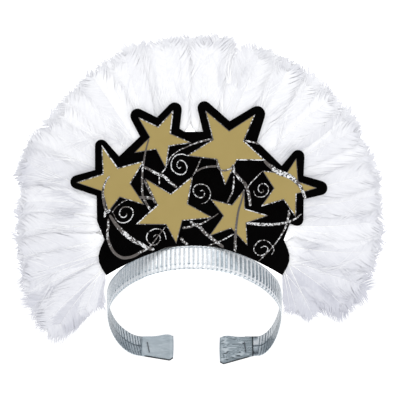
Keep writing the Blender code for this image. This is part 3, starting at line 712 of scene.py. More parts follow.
# name, whether it passes over the stars, its widths in pixels, its painted glints (sparkle) from 0 to 1, both
# spread evenly along it, and its points
RIBBONS = (
    ("loop_left_top", True, (1.4, 2.0, 2.2, 2.5), (0.05, 0.15, 0.35, 0.25, 0.35),
     ((149, 138.9), (146.9, 146), (144.6, 156.2), (143.9, 161.8), (142.5, 169.5), (142.2, 187.4),
      (143.4, 197.6), (150.5, 210.4))),
    ("tape_left_top", False, (2.6, 3.0, 3.0, 2.8), (0.1, 0.15, 1.0, 0.85, 0.6, 0.2),
     ((143.4, 167), (148.5, 169), (156.2, 173.4), (163.9, 176.3), (169, 181.5), (174.2, 185.5),
      (177, 187.8))),
    ("thread_under_star", False, (1.3, 1.4), (0.75, 0.4),
     ((165.8, 168), (161.7, 173), (159.4, 174.6), (159.4, 184.2))),
    ("arc_far_left", True, (1.6, 2.2, 2.6, 2.2), (0.6, 0.55, 0.5, 0.2, 0.6),
     ((110, 176), (106.5, 180.4), (103.3, 188.7), (103.3, 197.6), (104.5, 206.5), (106.5, 212.3))),
    ("bow_left", False, (2.5, 3.8, 4.6, 4.6, 4.0, 3.0),
     (0.05, 0.02, 0.02, 0.05, 0.5, 1.0, 1.0, 0.25, 0.8, 1.0, 1.0, 0.5, 0.8),
     ((109.6, 214.8), (111.6, 218), (116, 224.4), (121.5, 230.5), (128.3, 236.6), (134.6, 241), (141, 244.2),
      (149.3, 248.7), (154.4, 249.3))),
    ("loop_low_left", False, (2.0, 2.6, 3.0, 3.2, 3.0, 2.0, 1.2, 1.0),
     (0.05, 0.75, 0.7, 0.3, 0.35, 0.05, 0.02, 0.02, 0.02, 0.02, 0.1, 0.6, 0.4, 0.3, 0.3, 0.25, 0.1),
     ((108.2, 218.7), (108.2, 227), (107.2, 233.4), (108.5, 241), (111.7, 248.7), (115.5, 253.8),
      (121.9, 257.6), (128.3, 257.6), (134.6, 255.7), (141, 251.9), (146.1, 249.3), (150.6, 246.1),
      (156.3, 238.5), (160.8, 232.7), (165.9, 226.4))),
    ("thread_left_spiral", False, (1.0, 1.0), (0.5, 0.6),
     ((128.1, 199.5), (122.4, 202.1), (116, 207.2), (112.2, 212.9))),
    ("swoop_top_left", False, (2.4, 1.8, 1.2, 1.0, 1.0), (0.1, 0.65, 0.3, 0.5, 0.4),
     ((212.6, 139.2), (205.1, 140.4), (197.6, 142.6), (191.9, 144.4), (185, 147.8), (181.1, 149.1),
      (175, 153.2), (169.9, 158.3), (167, 166))),
    ("thread_middle", False, (1.3, 1.3), (0.3, 0.4, 0.5),
     ((201.1, 158.7), (198.2, 165), (195.9, 170.2), (193, 175.4))),
    ("arc_middle", False, (1.5, 2.0, 2.4), (0.2, 0.12, 0.05),
     ((195.9, 171.9), (201.6, 168.5), (208, 166.8), (217.1, 166.2))),
    ("clasp_upper_star", True, (1.6, 1.8, 2.0, 1.8), (0.1, 0.1, 0.35, 0.1, 0.15, 0.6),
     ((217.4, 159.5), (217.4, 165), (219.2, 169), (222.5, 170.6), (226.5, 170.2), (230.8, 168.4),
      (233.4, 164.6))),
    ("hook_middle", False, (2.6, 3.0, 3.4, 3.2, 2.6), (0.9, 0.7, 0.85, 0.4, 0.7, 0.15, 0.7),
     ((233.8, 166.2), (233.8, 171.3), (236.7, 174.8), (240.1, 179.4), (244.7, 183.4), (247.8, 191),
      (249.1, 195.5), (249.7, 200.6), (250.4, 206.4))),
    ("beads_middle", False, (1.6, 1.8, 1.4), (0.35, 0.95, 0.6, 0.1, 0.1),
     ((233.8, 176.4), (233.8, 182.8), (232.5, 191.7), (230, 196.8), (227.1, 203.2))),
    ("tape_over_star", True, (1.8, 2.2, 2.6, 3.0), (0.1, 0.05, 0.05, 0.1, 0.8),
     ((244, 190.4), (241.5, 200.6), (238.3, 211.5), (236.4, 224.2), (235.4, 237), (235.1, 251.6))),
    ("thread_right_spiral", False, (1.0, 1.3), (0.5, 0.75),
     ((262.8, 170.8), (256.5, 177.1), (251.3, 182.3), (247.9, 187.5))),
    ("garland_right", True, (2.6, 4.6, 6.0, 5.6, 4.4, 3.4, 3.0),
     (0.05, 0.15, 1.0, 1.0, 0.95, 0.9, 0.35, 0.85, 0.5),
     ((263.9, 160.5), (268, 164.5), (272, 167.4), (274.9, 170.3), (280.6, 173.1), (286.3, 174.9),
      (292.1, 178.3), (296.7, 182.3), (300.1, 186.3), (302.4, 190.9), (304.1, 195.5), (305.3, 199))),
    ("streak_top_right", False, (2.4, 1.8, 1.2), (1.0, 0.7, 0.1),
     ((243.6, 140.9), (249.9, 141.5), (255, 142.6), (259.1, 144.4))),
    ("smile_right", False, (2.6, 3.2, 2.8, 2.2, 1.2), (0.95, 0.9, 1.0, 0.9, 0.8, 0.7, 0.3),
     ((245.9, 222.9), (254.2, 223.9), (263.8, 224.5), (273.3, 224.5), (282.9, 223.3), (289.3, 221.7),
      (296.7, 217.9), (301.3, 213.9))),
    ("tail_right", False, (2.4, 2.2, 1.2, 1.0, 0.9), (0.5, 0.5, 0.75, 0.8, 0.45, 0.35),
     ((289.2, 209.3), (288.9, 215), (287.5, 219.6), (286.3, 225.4), (283.5, 231.2), (279.7, 237.6),
      (274, 245.3), (267.6, 252.3), (258.7, 261.2))),
    ("thread_low_right", False, (1.4, 1.3, 1.0), (0.4, 0.75, 0.6, 0.3),
     ((233.8, 233.8), (227.4, 237.6), (221, 240.8), (212.8, 244), (208.3, 245.3))),
    ("tape_low_middle", False, (3.0, 3.4, 3.6, 3.2), (0.25, 0.4, 0.2, 0.5, 0.35, 0.1),
     ((189.7, 221.7), (194.9, 224.5), (200, 227.4), (204.6, 232.6), (210.4, 237.2), (216.1, 241.8),
      (220, 244.6), (223.6, 247.2))),
    ("thread_low_middle", False, (2.4, 2.2, 1.4, 1.0), (0.2, 0.5, 0.35, 0.25),
     ((182.2, 228), (190.9, 226.8), (194.9, 224.5), (200.6, 224), (206.4, 221.1), (213.2, 217.1),
      (218.5, 213.3))),
    ("stub_low_left", False, (3.0, 3.0), (0.15, 0.7, 0.5), ((180.5, 237.7), (184, 241.8), (188, 244.6))),
    ("band_between_stars", False, (2.8, 3.0), (0.15, 0.3, 0.15),
     ((131.3, 198.9), (138.3, 197.6), (145.4, 197.6), (153, 198.9), (155.6, 203.3))),
    ("edge_lower_star", False, (2.2, 2.0), (0.1, 0.15), ((144.1, 179.7), (148.5, 189.3), (154.3, 198.9))),
    ("knot_left", True, (2.2, 3.2, 3.0, 2.2), (0.8, 0.95, 0.95, 0.6),
     ((110.8, 209.4), (108, 211.8), (105.6, 212.2), (104.6, 217.6))),
    ("spiral_left", False, (1.0, 1.3, 1.5, 1.2),
     (0.3, 0.35, 0.8, 0.95, 0.7, 0.75, 0.45, 0.2, 0.25, 0.75, 0.5, 0.45),
     ((113.5, 213.5), (117.3, 220.6), (123.7, 222.8), (130.1, 219.9), (133.2, 213.5), (132, 209.1),
      (127.5, 206.9), (122.4, 207.8), (119.5, 212.3), (120.5, 216.1), (124.3, 217.4), (126.9, 214.8),
      (126.2, 212.9))),
    ("spiral_low_left", False, (1.0, 1.3, 1.3, 1.0),
     (0.7, 0.55, 0.3, 0.55, 0.75, 0.7, 0.45, 0.25, 0.35, 0.25, 0.6, 0.35),
     ((166.2, 239.5), (165, 234.3), (163, 231), (158.7, 229.1), (154.1, 229.1), (148.4, 232.6),
      (146.6, 237.7), (148.9, 242.9), (154.1, 245.2), (158.7, 242.3), (160.4, 237.7), (158.1, 234.9),
      (155.3, 234.9), (153, 237.7))),
    ("spiral_middle", False, (0.9, 1.3, 1.4, 1.1), (0.3, 0.45, 0.55, 0.4),
     ((201.2, 203.9), (206.3, 202.1), (209.8, 197.6), (210.4, 191.8), (207.5, 186.6), (201.8, 184.1),
      (196, 185.2), (193.1, 190.1), (194.9, 194.7), (198.9, 197.6), (203.5, 196.7), (204.6, 193),
      (202.9, 190.4), (200, 191))),
    ("spiral_top_left", False, (1.2, 1.5, 1.5, 1.2), (0.85, 0.85, 0.75, 0.7),
     ((186.7, 155.7), (182.7, 154.2), (176.5, 155.2), (172.4, 159.8), (171.2, 164.9), (172.4, 170),
      (176, 173.1), (180.6, 174.6), (184.7, 173.1), (187, 168.5), (185.7, 163.9), (182.7, 160.8),
      (179.6, 160.6), (177.3, 162.9), (177, 165.9), (179.1, 168.2), (181.1, 166.9))),
    ("spiral_right", False, (0.9, 1.2, 1.3, 1.1), (0.25, 0.4, 0.55, 0.45),
     ((253.6, 190.4), (254.8, 194.4), (257.6, 196.7), (262.2, 197), (266.2, 194.9), (268.5, 190.4),
      (267.4, 185.8), (263.9, 183.5), (260.5, 184.3), (258.2, 187.5), (258.8, 190.9), (261.1, 192.6),
      (263.4, 191.5), (263.4, 189.2))),
    ("spiral_low_right", False, (1.0, 1.3, 1.4, 1.1), (0.35, 0.5, 0.55, 0.45),
     ((271.4, 254.8), (273.7, 251), (273.3, 247.8), (269.5, 242.7), (264.4, 240.2), (258.7, 241.4),
      (254.8, 245.9), (253.9, 249.7), (256.1, 253.5), (259.9, 255.5), (264.4, 254.2), (267.6, 250.4),
      (267, 247.2), (263.8, 246.2), (260.6, 247.8))),
)
RIBBON_LIFT = 0.02 * MM
RIBBON_WALL = 0.2 * MM
RIBBON_STEP_PIXELS = 0.7
RIBBON_WIDTH_SHARE = 0.9
SPIRAL_WIDTH_SHARE = 0.78
# Spirals' painted glints are this much brighter
SPIRAL_GLEAM = 1.5
# Each ribbon lies this much in front of the one before, so that none share a surface where they cross
RIBBON_STACK = 0.004 * MM
# Depths inside a star's outline, negative outside it, between which a ribbon steps up onto the star
CLIMB_START = -2.2 * MM
CLIMB_END = -1.2 * MM
# The section of a ribbon: place across it and height, as shares
RIBBON_SECTION = ((-1.0, 0.0), (-0.8, 0.75), (0.0, 1.0), (0.8, 0.75), (1.0, 0.0))

# How wide each star's edges are and how strongly their painted glints shine, clockwise from its highest tip
STAR_EDGE_WIDTH_AND_GLINT = {
    "star_left": (1.0, 0.85, 0.75, 0.2, 0.4, 0.25, 0.55, 0.05, 0.65, 0.6),
    "star_upper_left": (0.95, 0.4, 0.65, 0.9, 0.25, 0.35, 0.1, 0.2, 0.8, 0.75),
    "star_upper_right": (0.35, 0.15, 0.75, 0.85, 0.95, 0.35, 0.85, 0.5, 0.6, 0.7),
    "star_right": (0.25, 0.2, 0.15, 0.65, 0.6, 0.8, 0.35, 0.3, 0.6, 0.15),
    "star_lower_left": (0.8, 0.35, 0.5, 0.25, 0.3, 0.5, 1.0, 0.35, 0.5, 0.85),
    "star_lower_right": (0.35, 0.8, 0.45, 0.3, 0.25, 0.3, 0.2, 0.35, 0.5, 0.4),
}
EDGE_INSIDE = 0.6 * MM
EDGE_OUTSIDE = 0.4 * MM
EDGE_WALL = 0.15 * MM
EDGE_STEP = 0.8 * MM
EDGE_LEAST_SHARE = 0.35
EDGE_TIP_REACH = 1.5
EDGE_FADE = 1.6


def star_corners(name):
    """The star's ten corners as x and z, clockwise from the highest tip."""
    front = STAR_FRONT + 0.05 * MM
    points = np.array([(v.co.x, v.co.z) for v in NODES[name].data.vertices if v.co.y < front])
    points = np.unique(np.round(points, 6), axis=0)
    middle = points.mean(0)
    angles = np.arctan2(points[:, 1] - middle[1], points[:, 0] - middle[0])
    points = points[np.argsort(-angles)]
    return np.roll(points, -int(np.argmax(points[:, 1])), axis=0)


def inside_depth(spots, corners):
    """Distance to the outline for each spot, positive inside."""
    best = np.full(len(spots), 1e9)
    inside = np.zeros(len(spots), bool)
    for a, b in zip(corners, np.roll(corners, -1, axis=0)):
        run = b - a
        share = np.clip((spots - a) @ run / (run @ run), 0.0, 1.0)
        best = np.minimum(best, np.linalg.norm(spots - (a + share[:, None] * run), axis=1))
        crosses = (a[1] > spots[:, 1]) != (b[1] > spots[:, 1])
        reach = a[0] + (spots[:, 1] - a[1]) / (run[1] if run[1] else 1e-12) * run[0]
        inside ^= crosses & (spots[:, 0] < reach)
    return np.where(inside, best, -best)


def spread_along(values, count):
    """A few values spread evenly over that many places."""
    return np.interp(np.linspace(0.0, 1.0, count), np.linspace(0.0, 1.0, len(values)), values)


def add_ribbon(row, stars, material, order):
    """A raised foil ribbon that lies on the card and steps up where it crosses a star."""
    name, over, widths, sparkles, pixels = row
    line = smooth_line(pixels, RIBBON_STEP_PIXELS)
    spots = on_card(line)
    count = len(spots)
    run = np.gradient(spots, axis=0)
    run /= np.linalg.norm(run, axis=1)[:, None]
    across = np.stack([-run[:, 1], run[:, 0]], 1)
    curled = name.startswith("spiral")
    width_share = SPIRAL_WIDTH_SHARE if curled else RIBBON_WIDTH_SHARE
    half = spread_along(widths, count) * width_share * PIXEL / 2.0
    ends = np.minimum(np.arange(count), np.arange(count)[::-1]) / 2.0
    half = half * np.clip(0.35 + 0.65 * ends, 0.0, 1.0)
    raised = np.zeros(count)
    if over:
        depth = np.max([inside_depth(spots, corners) for corners in stars], axis=0)
        raised = smoothstep(CLIMB_START, CLIMB_END, depth)
    base = CARD_FRONT - RIBBON_LIFT - order * RIBBON_STACK
    base = base + (STAR_FRONT - RIBBON_LIFT - EDGE_WALL - CARD_FRONT) * raised
    points = []
    for offset, lift in RIBBON_SECTION:
        place = spots + across * (half * offset)[:, None]
        points.append(np.stack([place[:, 0], base - RIBBON_WALL * lift, place[:, 1]], 1))
    rows = len(points)
    points = np.stack(points, 1).reshape(-1, 3)
    # Painted glints along the ribbon
    sparkle = np.repeat(spread_along(sparkles, count), rows) * (SPIRAL_GLEAM if curled else 1.0)
    faces = loop_faces(count, rows)
    add_mesh("ribbon_" + name, points, faces, material, "silver_foil", sparkle=sparkle)


def add_star_edge(name, corners, material):
    """Glitter trim folded over the star's outline: it caps the edge and reaches down to the card."""
    before = np.roll(corners, 1, axis=0)
    after = np.roll(corners, -1, axis=0)
    to_here = corners - before
    to_next = after - corners
    to_here /= np.linalg.norm(to_here, axis=1)[:, None]
    to_next /= np.linalg.norm(to_next, axis=1)[:, None]
    normal_here = np.stack([-to_here[:, 1], to_here[:, 0]], 1)
    normal_next = np.stack([-to_next[:, 1], to_next[:, 0]], 1)
    mitre = normal_here + normal_next
    mitre /= np.sum(mitre * normal_next, axis=1)[:, None]
    stretch = np.linalg.norm(mitre, axis=1)[:, None]
    short = mitre * np.minimum(1.0, EDGE_TIP_REACH / stretch)
    strengths = np.array(STAR_EDGE_WIDTH_AND_GLINT[name])
    front = STAR_FRONT - RIBBON_LIFT
    section = ((-EDGE_INSIDE, front), (-EDGE_INSIDE, front - EDGE_WALL), (EDGE_OUTSIDE, front - EDGE_WALL),
               (EDGE_OUTSIDE, CARD_FRONT - RIBBON_LIFT), (RIBBON_LIFT, CARD_FRONT - RIBBON_LIFT),
               (RIBBON_LIFT, front))
    columns = []
    sparkle = []
    for i, (a, b) in enumerate(zip(corners, after)):
        steps = max(3, round(np.linalg.norm(b - a) / EDGE_STEP))
        for t in np.arange(steps) / steps:
            spot = a + (b - a) * t
            near_end = min(t, 1.0 - t) * steps
            leans = []
            for corner_lean in (mitre, short):
                lean = corner_lean[i] * (1.0 - t) + corner_lean[(i + 1) % len(corners)] * t
                if near_end >= 1.0:
                    lean = normal_next[i] + (lean - normal_next[i]) / (1.0 + near_end)
                leans.append(lean)
            strength = strengths[i] if t > 0.0 else (strengths[i] + strengths[i - 1]) / 2.0
            wide = EDGE_LEAST_SHARE + (1.0 - EDGE_LEAST_SHARE) * strength
            column = []
            for out, y in section:
                lean = leans[0] if out < 0.0 else leans[1]
                out = out * wide if abs(out) > RIBBON_LIFT else out
                column.append((spot[0] + lean[0] * out, y, spot[1] + lean[1] * out))
            columns.append(column)
            # Painted glints along the trim, from the same strength
            sparkle += [strength ** EDGE_FADE] * len(section)
    # The trim runs on round the whole star, so its last column meets the first
    rows = len(section)
    count = len(columns)
    points = np.array(columns).reshape(-1, 3)
    column, row = np.meshgrid(np.arange(count), np.arange(rows), indexing="ij")
    here = column * rows + row
    above = column * rows + (row + 1) % rows
    step = ((column + 1) % count) * rows
    quads = np.stack([here, step + row, step + (row + 1) % rows, above], -1).reshape(-1, 4)
    add_mesh(name + "_edge", points, [quads], material, "silver_foil", sparkle=sparkle)


# Feathers. Angles are in degrees round the fan's centre, anticlockwise from the right.

BARB_STATIONS = 5
BARBS_A_SIDE = 84
VANE_START = 0.2
BARB_HALF_WIDTH = 0.62 * MM
BARB_DEPTH = 0.16 * MM
BARB_LEAST_LENGTH = 1.0 * MM
VANE_LEAST_HALF_WIDTH = 0.4 * MM
BARB_LENGTH_SCATTER = 0.7 * MM
BARB_LIFT_SCATTER = 0.07 * MM
BARB_TWIST = 0.08
TONE_SCATTER = 0.035
FUZZ_REACH = 2.4 * MM
QUILL_STATIONS = 16
QUILL_ROOT_RADIUS = 0.5 * MM
QUILL_TIP_RADIUS = 0.07 * MM
QUILL_LIFT = 0.1 * MM
CARD_CLEARANCE = 0.1 * MM
# Painted shade of the fan: its depth at each angle, rising from the near to the far radius, with a darker
# band at the rim
SHADE_ANGLES = (-40.0, -25.0, -8.0, 15.0, 45.0, 90.0, 135.0, 165.0, 185.0, 205.0, 225.0)
SHADE_DEPTHS = (1.0, 0.88, 0.44, 0.41, 0.3, 0.22, 0.23, 0.48, 0.52, 0.62, 0.66)
SHADE_NEAR = 74.0 * MM
SHADE_FAR = 102.0 * MM
RIM_NEAR = 0.93
RIM_FAR = 0.985
RIM_SHADE = 0.16
END_SHADE_SHIFT = 16.0 * MM
# Half the angle over which the frame's fan is searched for its outline
OUTLINE_REACH = 1.3
START_MARGIN = 3.0 * MM
# Below its top, no barb comes nearer the middle of the ring than its sides
RING_TOP = 45.0 * MM
RING_LEFT = -71.8 * MM
RING_RIGHT = 73.4 * MM


def fan_angle(x, z):
    """Angle of places measured from the fan's centre, from -90 to 270."""
    return (np.degrees(np.arctan2(z, x)) + 90.0) % 360.0 - 90.0


def fan_place(radius, turn):
    """x and z at a radius and a turn in radians round the fan's centre."""
    return FAN_CENTRE[0] + radius * np.cos(turn), FAN_CENTRE[1] + radius * np.sin(turn)


def fan_depth(radius, behind):
    """y of the fan's bowed surface at a radius, that far behind its front."""
    share = np.clip((radius - FAN_ROOT_RADIUS) / (FAN_RADIUS - FAN_ROOT_RADIUS), 0.0, 1.1)
    return CARD_BACK + TOUCH_GAP + FAN_BOW * share ** 2 + behind


class FanReach:
    """How far the fan of the frame reaches at each whole degree, and where it starts."""

    def __init__(self):
        points = np.array([(v.co.x, v.co.z) for v in NODES["feather_fan"].data.vertices])
        points = points - np.array(FAN_CENTRE)
        radius = np.hypot(points[:, 0], points[:, 1])
        angle = fan_angle(points[:, 0], points[:, 1])
        self.degrees = np.arange(math.ceil(angle.min()), math.floor(angle.max()) + 1)
        around = [radius[np.abs(angle - degree) < OUTLINE_REACH] for degree in self.degrees]
        self.rims = np.array([each.max() for each in around])
        self.starts = np.array([each.min() for each in around])

    def rim(self, angle):
        """Radius of the fan's outline at an angle."""
        return np.interp(angle, self.degrees, self.rims)

    def allowed(self, x, z):
        """Outside the ring's place: free between the fan's edges, and past its start below them."""
        angle = fan_angle(x, z)
        start = np.interp(angle, self.degrees, self.starts) - START_MARGIN
        free = (angle > FAN_RIGHT_EDGE) & (angle < FAN_LEFT_EDGE)
        across = x + FAN_CENTRE[0]
        beside = (z + FAN_CENTRE[1] > RING_TOP) | (across < RING_LEFT) | (across > RING_RIGHT)
        return (free | (np.hypot(x, z) > start)) & beside

    def shade(self, x, z):
        """Painted shade of the fan at places measured from its centre: white by the card, greyer out and
        down, and darker at its rim.
        """
        radius = np.hypot(x, z)
        angle = fan_angle(x, z)
        depth = np.interp(angle, SHADE_ANGLES, SHADE_DEPTHS)
        rim = smoothstep(RIM_NEAR, RIM_FAR, radius / self.rim(angle))
        ends = np.maximum(1.0 - smoothstep(-36.0, -18.0, angle), smoothstep(204.0, 218.0, angle))
        return depth * smoothstep(SHADE_NEAR, SHADE_FAR, radius + END_SHADE_SHIFT * ends) + RIM_SHADE * rim


def vane_outline(q):
    """Half width and place along the feather of the ends of its barbs, each as a share, for q from 0 to 1."""
    rise = np.clip(q / 0.35, 0.0, 1.0)
    width = 0.5 + 0.5 * rise * rise * (3.0 - 2.0 * rise)
    blunt = np.clip((q - 0.66) / 0.34, 0.0, 1.0)
    width = width * (1.0 - blunt ** 3.0) ** 0.55
    along = VANE_START + (1.0 - VANE_START) * (q * 0.86 + 0.14 * np.sin(q * math.pi / 2.0))
    lead = 0.17 * (1.0 - q ** 3)
    return width, np.minimum(along + lead * (0.4 + 0.6 * rise), 0.995 + 0.01 * q)


def add_strands(name, strands, material, smooth=False, **values):
    """One piece from many equal swept strands, given by strand, station, corner and place."""
    count, stations, corners = strands.shape[:3]
    shift = np.arange(count)[:, None, None] * stations * corners
    faces = [(group[None] + shift).reshape(-1, group.shape[1]) for group in loop_faces(stations, corners)]
    return add_mesh(name, strands.reshape(-1, 3), faces, material, "white_feather", smooth, **values)


class FeatherBed:
    """Collects the barbs and quills of many feathers into two joined meshes."""

    def __init__(self, seed, fan):
        self.random = np.random.default_rng(seed)
        self.fan = fan
        self.barbs = []
        self.shades = []
        self.quills = []

    def add(self, root, tip, bend, half_width, behind, roll, vee, curl, tone_and_side_shade):
        """One feather from root to tip, that far behind the fan's front."""
        draw = self.random
        root, tip = np.array(root), np.array(tip)
        run = tip - root
        length = np.linalg.norm(run)
        side_way = np.array([-run[1], run[0]]) / length
        control = (root + tip) / 2.0 + side_way * bend

        def place(across, along, out):
            t = along / length
            centre = ((1.0 - t) ** 2)[..., None] * root + (2.0 * t * (1.0 - t))[..., None] * control
            centre = centre + (t ** 2)[..., None] * tip
            tangent = (1.0 - t)[..., None] * (control - root) + t[..., None] * (tip - control)
            tangent = tangent / np.linalg.norm(tangent, axis=-1)[..., None]
            normal = np.stack([-tangent[..., 1], tangent[..., 0]], -1)
            flat = centre + normal * across[..., None]
            radius = np.hypot(flat[..., 0] - FAN_CENTRE[0], flat[..., 1] - FAN_CENTRE[1])
            y = fan_depth(radius, behind) + across * math.tan(roll) + np.abs(across) * vee
            y = y + curl * np.clip(t - 0.6, 0.0, 1.0) ** 2 / 0.16 - out
            y = np.maximum(y, CARD_BACK + CARD_CLEARANCE)
            return np.stack([flat[..., 0], y, flat[..., 1]], -1)

        count = BARBS_A_SIDE
        q = (np.arange(count) + 0.5) / count
        tau = np.linspace(0.0, 1.0, BARB_STATIONS)[None, :]
        for side in (-1.0, 1.0):
            # The barbs of a side hang together in a few clumps, each drawn in towards its middle
            ends = q.copy()
            cuts = np.sort(draw.uniform(0.1, 0.98, draw.integers(2, 5)))
            bounds = np.concatenate([[0.0], cuts, [1.0]])
            for low, high in zip(bounds, bounds[1:]):
                group = (q >= low) & (q < high)
                ends[group] = (low + high) / 2.0 + (q[group] - (low + high) / 2.0) * draw.uniform(0.88, 0.99)
            width, reach = vane_outline(np.clip(ends, 0.0, 1.0))
            start = length * (VANE_START - 0.04 + (0.985 - VANE_START) * q)
            finish = length * reach + draw.normal(0.0, BARB_LENGTH_SCATTER, count)
            finish = finish + FUZZ_REACH * smoothstep(0.6, 0.95, q) * draw.uniform(-0.4, 1.0, count)
            finish = np.maximum(finish, start + BARB_LEAST_LENGTH)
            spread = half_width * width * (1.0 + draw.normal(0.0, 0.035, count)) + VANE_LEAST_HALF_WIDTH
            across = side * spread[:, None] * tau ** 0.8
            along = start[:, None] + (finish - start)[:, None] * tau ** 1.25
            # Each barb is a sliver with three corners, cut square to its own curve
            d_across = np.gradient(across, axis=1)
            d_along = np.gradient(along, axis=1)
            size = np.hypot(d_across, d_along)
            p_across, p_along = -d_along / size, d_across / size
            fine = 0.8 + 0.12 * smoothstep(0.5, 0.8, q)[:, None]
            thick = BARB_HALF_WIDTH * (1.0 - fine * tau ** 2.0) * draw.uniform(0.8, 1.25, (count, 1))
            twist = draw.normal(0.0, BARB_TWIST, (count, 1))
            lift = draw.normal(0.0, BARB_LIFT_SCATTER, (count, 1)) * tau
            one = place(across + p_across * thick, along + p_along * thick, lift + thick * twist)
            two = place(across - p_across * thick, along - p_along * thick, lift - thick * twist)
            deep = place(across, along, lift - BARB_DEPTH * (1.0 - 0.5 * tau))
            points = np.stack([one, two, deep], 2)
            centre_x = points[..., 0] - FAN_CENTRE[0]
            centre_z = points[..., 2] - FAN_CENTRE[1]
            kept = self.fan.allowed(centre_x, centre_z).all(axis=(1, 2))
            # Painted shade of the fan there, with one side of each vane painted lighter than the other, and
            # random lightness for each feather and barb
            slope = tone_and_side_shade[1] * side * (1.0 - 0.6 * tau[..., None])
            shades = self.fan.shade(centre_x, centre_z)[kept] * (1.0 + tone_and_side_shade[0]) + tone_and_side_shade[0] * 0.08 + slope
            shades = shades + draw.normal(0.0, TONE_SCATTER, (len(shades), 1, 1))
            self.barbs.append(points[kept])
            self.shades.append(np.clip(shades, 0.0, 1.0))
        t = np.linspace(0.0, 0.985, QUILL_STATIONS)
        radius = QUILL_ROOT_RADIUS * (1.0 - t) ** 1.5 + QUILL_TIP_RADIUS
        ring = []
        for turn in (0.0, 0.5, 1.0, 1.5):
            sideways = np.cos(turn * math.pi) * radius
            outwards = np.sin(turn * math.pi) * radius + QUILL_LIFT
            ring.append(place(sideways, t * length, outwards))
        ring = np.stack(ring, 1)
        if self.fan.allowed(ring[..., 0] - FAN_CENTRE[0], ring[..., 2] - FAN_CENTRE[1]).all():
            self.quills.append(ring)

    def build(self, name, vane_material, quill_material):
        """The two pieces of a layer. The vanes are returned."""
        shades = np.concatenate(self.shades).ravel()
        vane = add_strands(name, np.concatenate(self.barbs), vane_material, shade=shades)
        add_strands(name + "_quills", np.stack(self.quills), quill_material, smooth=True)
        return vane


# layer name, feathers, half width, reach as a share, its scatter, depth behind the front, root radius, seed
FEATHER_LAYERS = (
    ("feathers_back", 44, 14.5 * MM, 1.038, 0.008, 3.0 * MM, 62.0 * MM, 21),
    ("feathers_middle", 42, 13.5 * MM, 1.02, 0.015, 1.8 * MM, 61.0 * MM, 22),
    ("feathers_front", 34, 13.0 * MM, 0.985, 0.03, 0.6 * MM, 60.0 * MM, 23),
)
END_MARGIN = 2.5
ROOT_MARGIN = 2.0
ANGLE_SCATTER = 1.6
TIP_ANGLE_SCATTER = 2.8
BEND_SCATTER = 5.5 * MM
CURL_SCATTER = 0.6 * MM
LAYER_SCATTER = 0.5 * MM
# Short feathers under the card's lower corners, in mm: root x and z, tip x and z
END_TUFTS = (
    (70.0, 60.0, 80.0, 9.5), (71.0, 58.0, 86.0, 8.0), (72.0, 57.0, 92.5, 9.0), (73.0, 60.0, 100.0, 3.0),
    (-68.0, 60.0, -77.0, 12.0), (-69.0, 58.0, -83.0, 11.5), (-70.0, 57.0, -89.0, 9.0),
    (-71.0, 60.0, -95.0, 5.0),
)
TUFT_LAYER = "feathers_front"
TUFT_HALF_WIDTH = 8.5 * MM
TUFT_SCATTER = 1.5 * MM
TUFT_ROLL = 0.05
TUFT_VEE = 0.1
TUFT_CURL = 0.5 * MM

WISP_SEED = 31
WISP_TUFTS = 110
WISP_STATIONS = 7
WISP_NEAREST = 72.0 * MM
WISP_SWING = 22.0
WISP_SHORTEST = 11.0
WISP_LONGEST = 30.0
WISP_SPREAD = 1.6 * MM
WISP_CONTRASTS = (-0.3, -0.1, 0.22)
WISP_HALF_WIDTH = 0.26 * MM
WISP_TIP_HALF_WIDTH = 0.05 * MM
WISP_DEPTH = 0.7 * MM
WISP_LIFT = 1.0 * MM
WISP_PAST_RIM = 2.0 * MM

TAPE_MIDDLE = 65.0 * MM
TAPE_BACK = 4.95 * MM
# Radius and depth behind the card of the tape's section: out along its back and in along its front
TAPE_SECTION = np.array((
    (58.2, 0.15), (57.6, 2.4), (58.6, 4.5), (61.0, 4.9), (65.0, 4.95), (70.0, 4.9), (73.0, 4.6),
    (73.0, 4.3), (70.0, 4.55), (65.0, 4.6), (61.0, 4.5), (59.2, 4.1), (58.2, 2.4), (58.7, 0.15))) * MM
TAPE_TURNS = np.radians(np.arange(FAN_RIGHT_EDGE + 1.0, FAN_LEFT_EDGE, 1.2))
TAPE_WANDER = 0.45 * MM
TAPE_WAVE = 0.12 * MM
TAPE_SEAMS = (61.6 * MM, 69.6 * MM)
STITCH_PITCH = 4.0 * MM
STITCH_SHARE = 0.66
STITCH_STATIONS = 5
STITCH_WANDER = 0.25 * MM
STITCH_LIFT = 0.1 * MM
STITCH_SAG = 0.35 * MM
# The section of a stitch, in mm across it and out of the tape
STITCH_SECTION = ((-0.22, 0.0), (0.0, 0.22), (0.22, 0.0), (0.0, -0.22))


